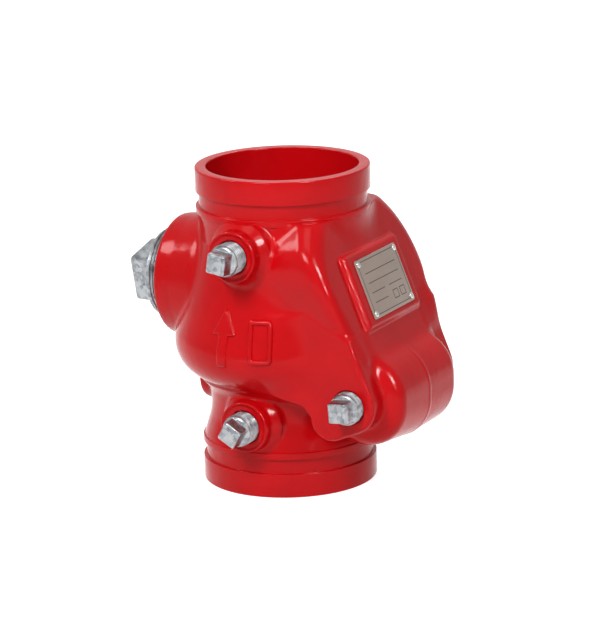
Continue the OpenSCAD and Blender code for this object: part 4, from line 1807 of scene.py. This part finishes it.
def towards(bearing: float, height: float) -> Vector:
    """Direction from the valve to a place, from its camera azimuth and its height in degrees."""
    (c, s), (level, rise) = cos_sin(bearing), cos_sin(height)
    return Vector((s * level, -c * level, rise))


def seen_rays(tree: bpy.types.NodeTree) -> Any:
    """Socket that is 1 for rays that show the background, straight, in a mirror or through glass.

    Args:
        tree: Tree of the world or of a background's material.

    Returns:
        The socket.
    """
    path = add_node(tree, "LightPath").outputs
    rays = {0: path["Is Glossy Ray"], 1: path["Is Transmission Ray"]}
    bent = add_node(tree, "Math", {"operation": "MAXIMUM"}, rays)
    rays = {0: path["Is Camera Ray"], 1: bent.outputs[0]}
    return add_node(tree, "Math", {"operation": "MAXIMUM"}, rays).outputs[0]


@dataclass
class Studio:
    """White sweep, soft lamps and the camera of the photograph."""

    paint: Paintbox
    azimuth: float = 28.3
    elevation: float = 14.87
    roll: float = 1.66
    distance: float = 2320.0
    focal_px: float = 3535.0
    sensor: float = 36.0
    image: tuple[int, int] = (597, 637)
    offset_px: Point = (-11.85, 0.8)
    target_z: float = 104.8
    floor_z: float = -0.2
    floor_r: float = 6000.0
    floor_colour: str = "#EDEDED"
    floor_glow: float = 0.8
    soft_light: float = 0.2
    lamp_z: float = 0.1
    edge_aim: tuple[float, float, float] = (75.0, -35.0, 150.0)
    edge_grid: float = 4.6
    edge_watts: float = 0.04

    def camera(self) -> None:
        """Sets the camera at the photograph's place, angle and framing."""
        back, right = towards(self.azimuth, self.elevation), Vector((*cos_sin(self.azimuth), 0))
        up, (c, s) = back.cross(right), cos_sin(self.roll)
        level, tall = right * c - up * s, right * s + up * c
        data = bpy.data.cameras.new("photo_camera")
        long_side = max(self.image)
        data.sensor_width = self.sensor
        data.lens = self.focal_px * data.sensor_width / long_side
        data.shift_x, data.shift_y = -self.offset_px[0] / long_side, self.offset_px[1] / long_side
        item = bpy.data.objects.new("photo_camera", data)
        place = (Vector((0, 0, self.target_z)) + back * self.distance) * MM
        item.matrix_world = Matrix((*zip(level, tall, back, place), (0, 0, 0, 1)))
        bpy.context.scene.collection.objects.link(item)
        bpy.context.scene.camera = item

    def lamp(
        self, name: str, bearing: float, height: float, reach: float, size: Point, watts: float
    ) -> bpy.types.Object:
        """Softbox that faces the valve.

        Args:
            name: Name of the lamp.
            bearing: Direction from the valve, as a camera azimuth in degrees.
            height: Degrees above the floor.
            reach: Metres from the valve.
            size: Width and height of the box, in metres.
            watts: Power.

        Returns:
            The lamp.
        """
        data = bpy.data.lights.new(name, "AREA")
        data.shape, data.size, data.size_y, data.energy = "RECTANGLE", size[0], size[1], watts
        item = bpy.data.objects.new(name, data)
        back = towards(bearing, height)
        item.location = Vector((0, 0, self.lamp_z)) + back * reach
        item.rotation_mode = "QUATERNION"
        item.rotation_quaternion = back.to_track_quat("Z", "Y")
        bpy.context.scene.collection.objects.link(item)
        return item

    def window(
        self, name: str, bearing: float, height: float, reach: float, size: Point, watts: float
    ) -> bpy.types.Object:
        """Softbox that only the wet enamel mirrors.

        Args:
            name: Name of the lamp.
            bearing: Direction from the valve, as a lamp's.
            height: Degrees above the floor.
            reach: Metres from the valve.
            size: Width and height of the box, in metres.
            watts: Power.

        Returns:
            The lamp.
        """
        item = self.lamp(name, bearing, height, reach, size, watts)
        item.visible_diffuse = False
        item.light_linking.receiver_collection = self.paint.enamelled
        return item

    def edge_light(self) -> None:
        """Gridded box whose narrow beam draws the edges of the plate's pad and of the hinge boss."""
        item = self.window("edge_window", 58, 14.6, 1.6, (0.24, 0.12), self.edge_watts)
        aim = Vector(self.edge_aim) * MM
        item.rotation_quaternion = (item.location - aim).to_track_quat("Z", "Y")
        item.data.spread = math.radians(self.edge_grid)

    def floor(self) -> None:
        """Lays a white paper floor that keeps the valve's shadow."""
        disc = circle(self.floor_r, self.floor_z, 64)
        item = mesh_object("studio_floor", disc, [tuple(range(len(disc)))])
        material = bpy.data.materials.new("white_paper_floor")
        tree = bare_tree(material)
        paper = add_node(tree, "BsdfDiffuse", {"Color": linear(self.floor_colour)})
        glow = add_node(tree, "Emission", {"Strength": self.floor_glow})
        lit = add_node(tree, "AddShader", {}, {0: paper.outputs[0], 1: glow.outputs[0]})
        shown = {0: seen_rays(tree), 1: paper.outputs[0], 2: lit.outputs[0]}
        mix = add_node(tree, "MixShader", {}, shown)
        add_node(tree, "OutputMaterial", {}, {"Surface": mix.outputs[0]})
        item.data.materials.append(material)

    def world(self) -> None:
        """Hangs a white background that the valve's gloss shows too, and a soft light for the rest."""
        world = bpy.data.worlds.new("white_studio")
        bpy.context.scene.world = world
        tree = bare_tree(world)
        white = add_node(tree, "Background", {"Strength": 1.0})
        soft = add_node(tree, "Background", {"Strength": self.soft_light})
        shown = {0: seen_rays(tree), 1: soft.outputs[0], 2: white.outputs[0]}
        mix = add_node(tree, "MixShader", {}, shown)
        add_node(tree, "OutputWorld", {}, {"Surface": mix.outputs[0]})
        bpy.context.scene.view_settings.view_transform = "Standard"

    def build(self) -> None:
        """Sets camera, floor, world and lamps."""
        self.camera()
        self.floor()
        self.world()
        self.lamp("key_softbox", -4, 40, 1.6, (0.4, 0.4), 14.5)
        self.lamp("right_softbox", 66, 38, 1.7, (0.5, 0.7), 7)
        self.lamp("top_softbox", 20, 74, 1.8, (0.8, 0.8), 5)
        self.lamp("back_softbox", 204, 42, 1.8, (0.6, 0.7), 9)
        self.window("left_window", -60, 42, 1.6, (0.6, 0.4), 13)
        self.window("right_window", 62, 31, 1.6, (0.4, 0.45), 36)
        self.edge_light()
        LOG.info("studio is lit")


def main() -> None:
    logging.basicConfig(level=logging.INFO, format="%(name)s: %(message)s")
    paint, layout = Paintbox(), Layout()
    Studio(paint).build()
    casting = ValveCasting(layout, paint)
    casting.build()
    GroovedEnd("grooved_inlet_end", layout, paint, outlet=False).build()
    GroovedEnd("grooved_outlet_end", layout, paint, outlet=True).build()
    CastMarks(casting, paint).build()
    PortPlugs(casting, paint).build()
    Nameplate(layout, paint).build()
    Clapper(layout, paint).build()
    ClosingSpring(layout, paint).build()
    HingeAndSeat(paint).build()


if __name__ == "__main__":
    main()
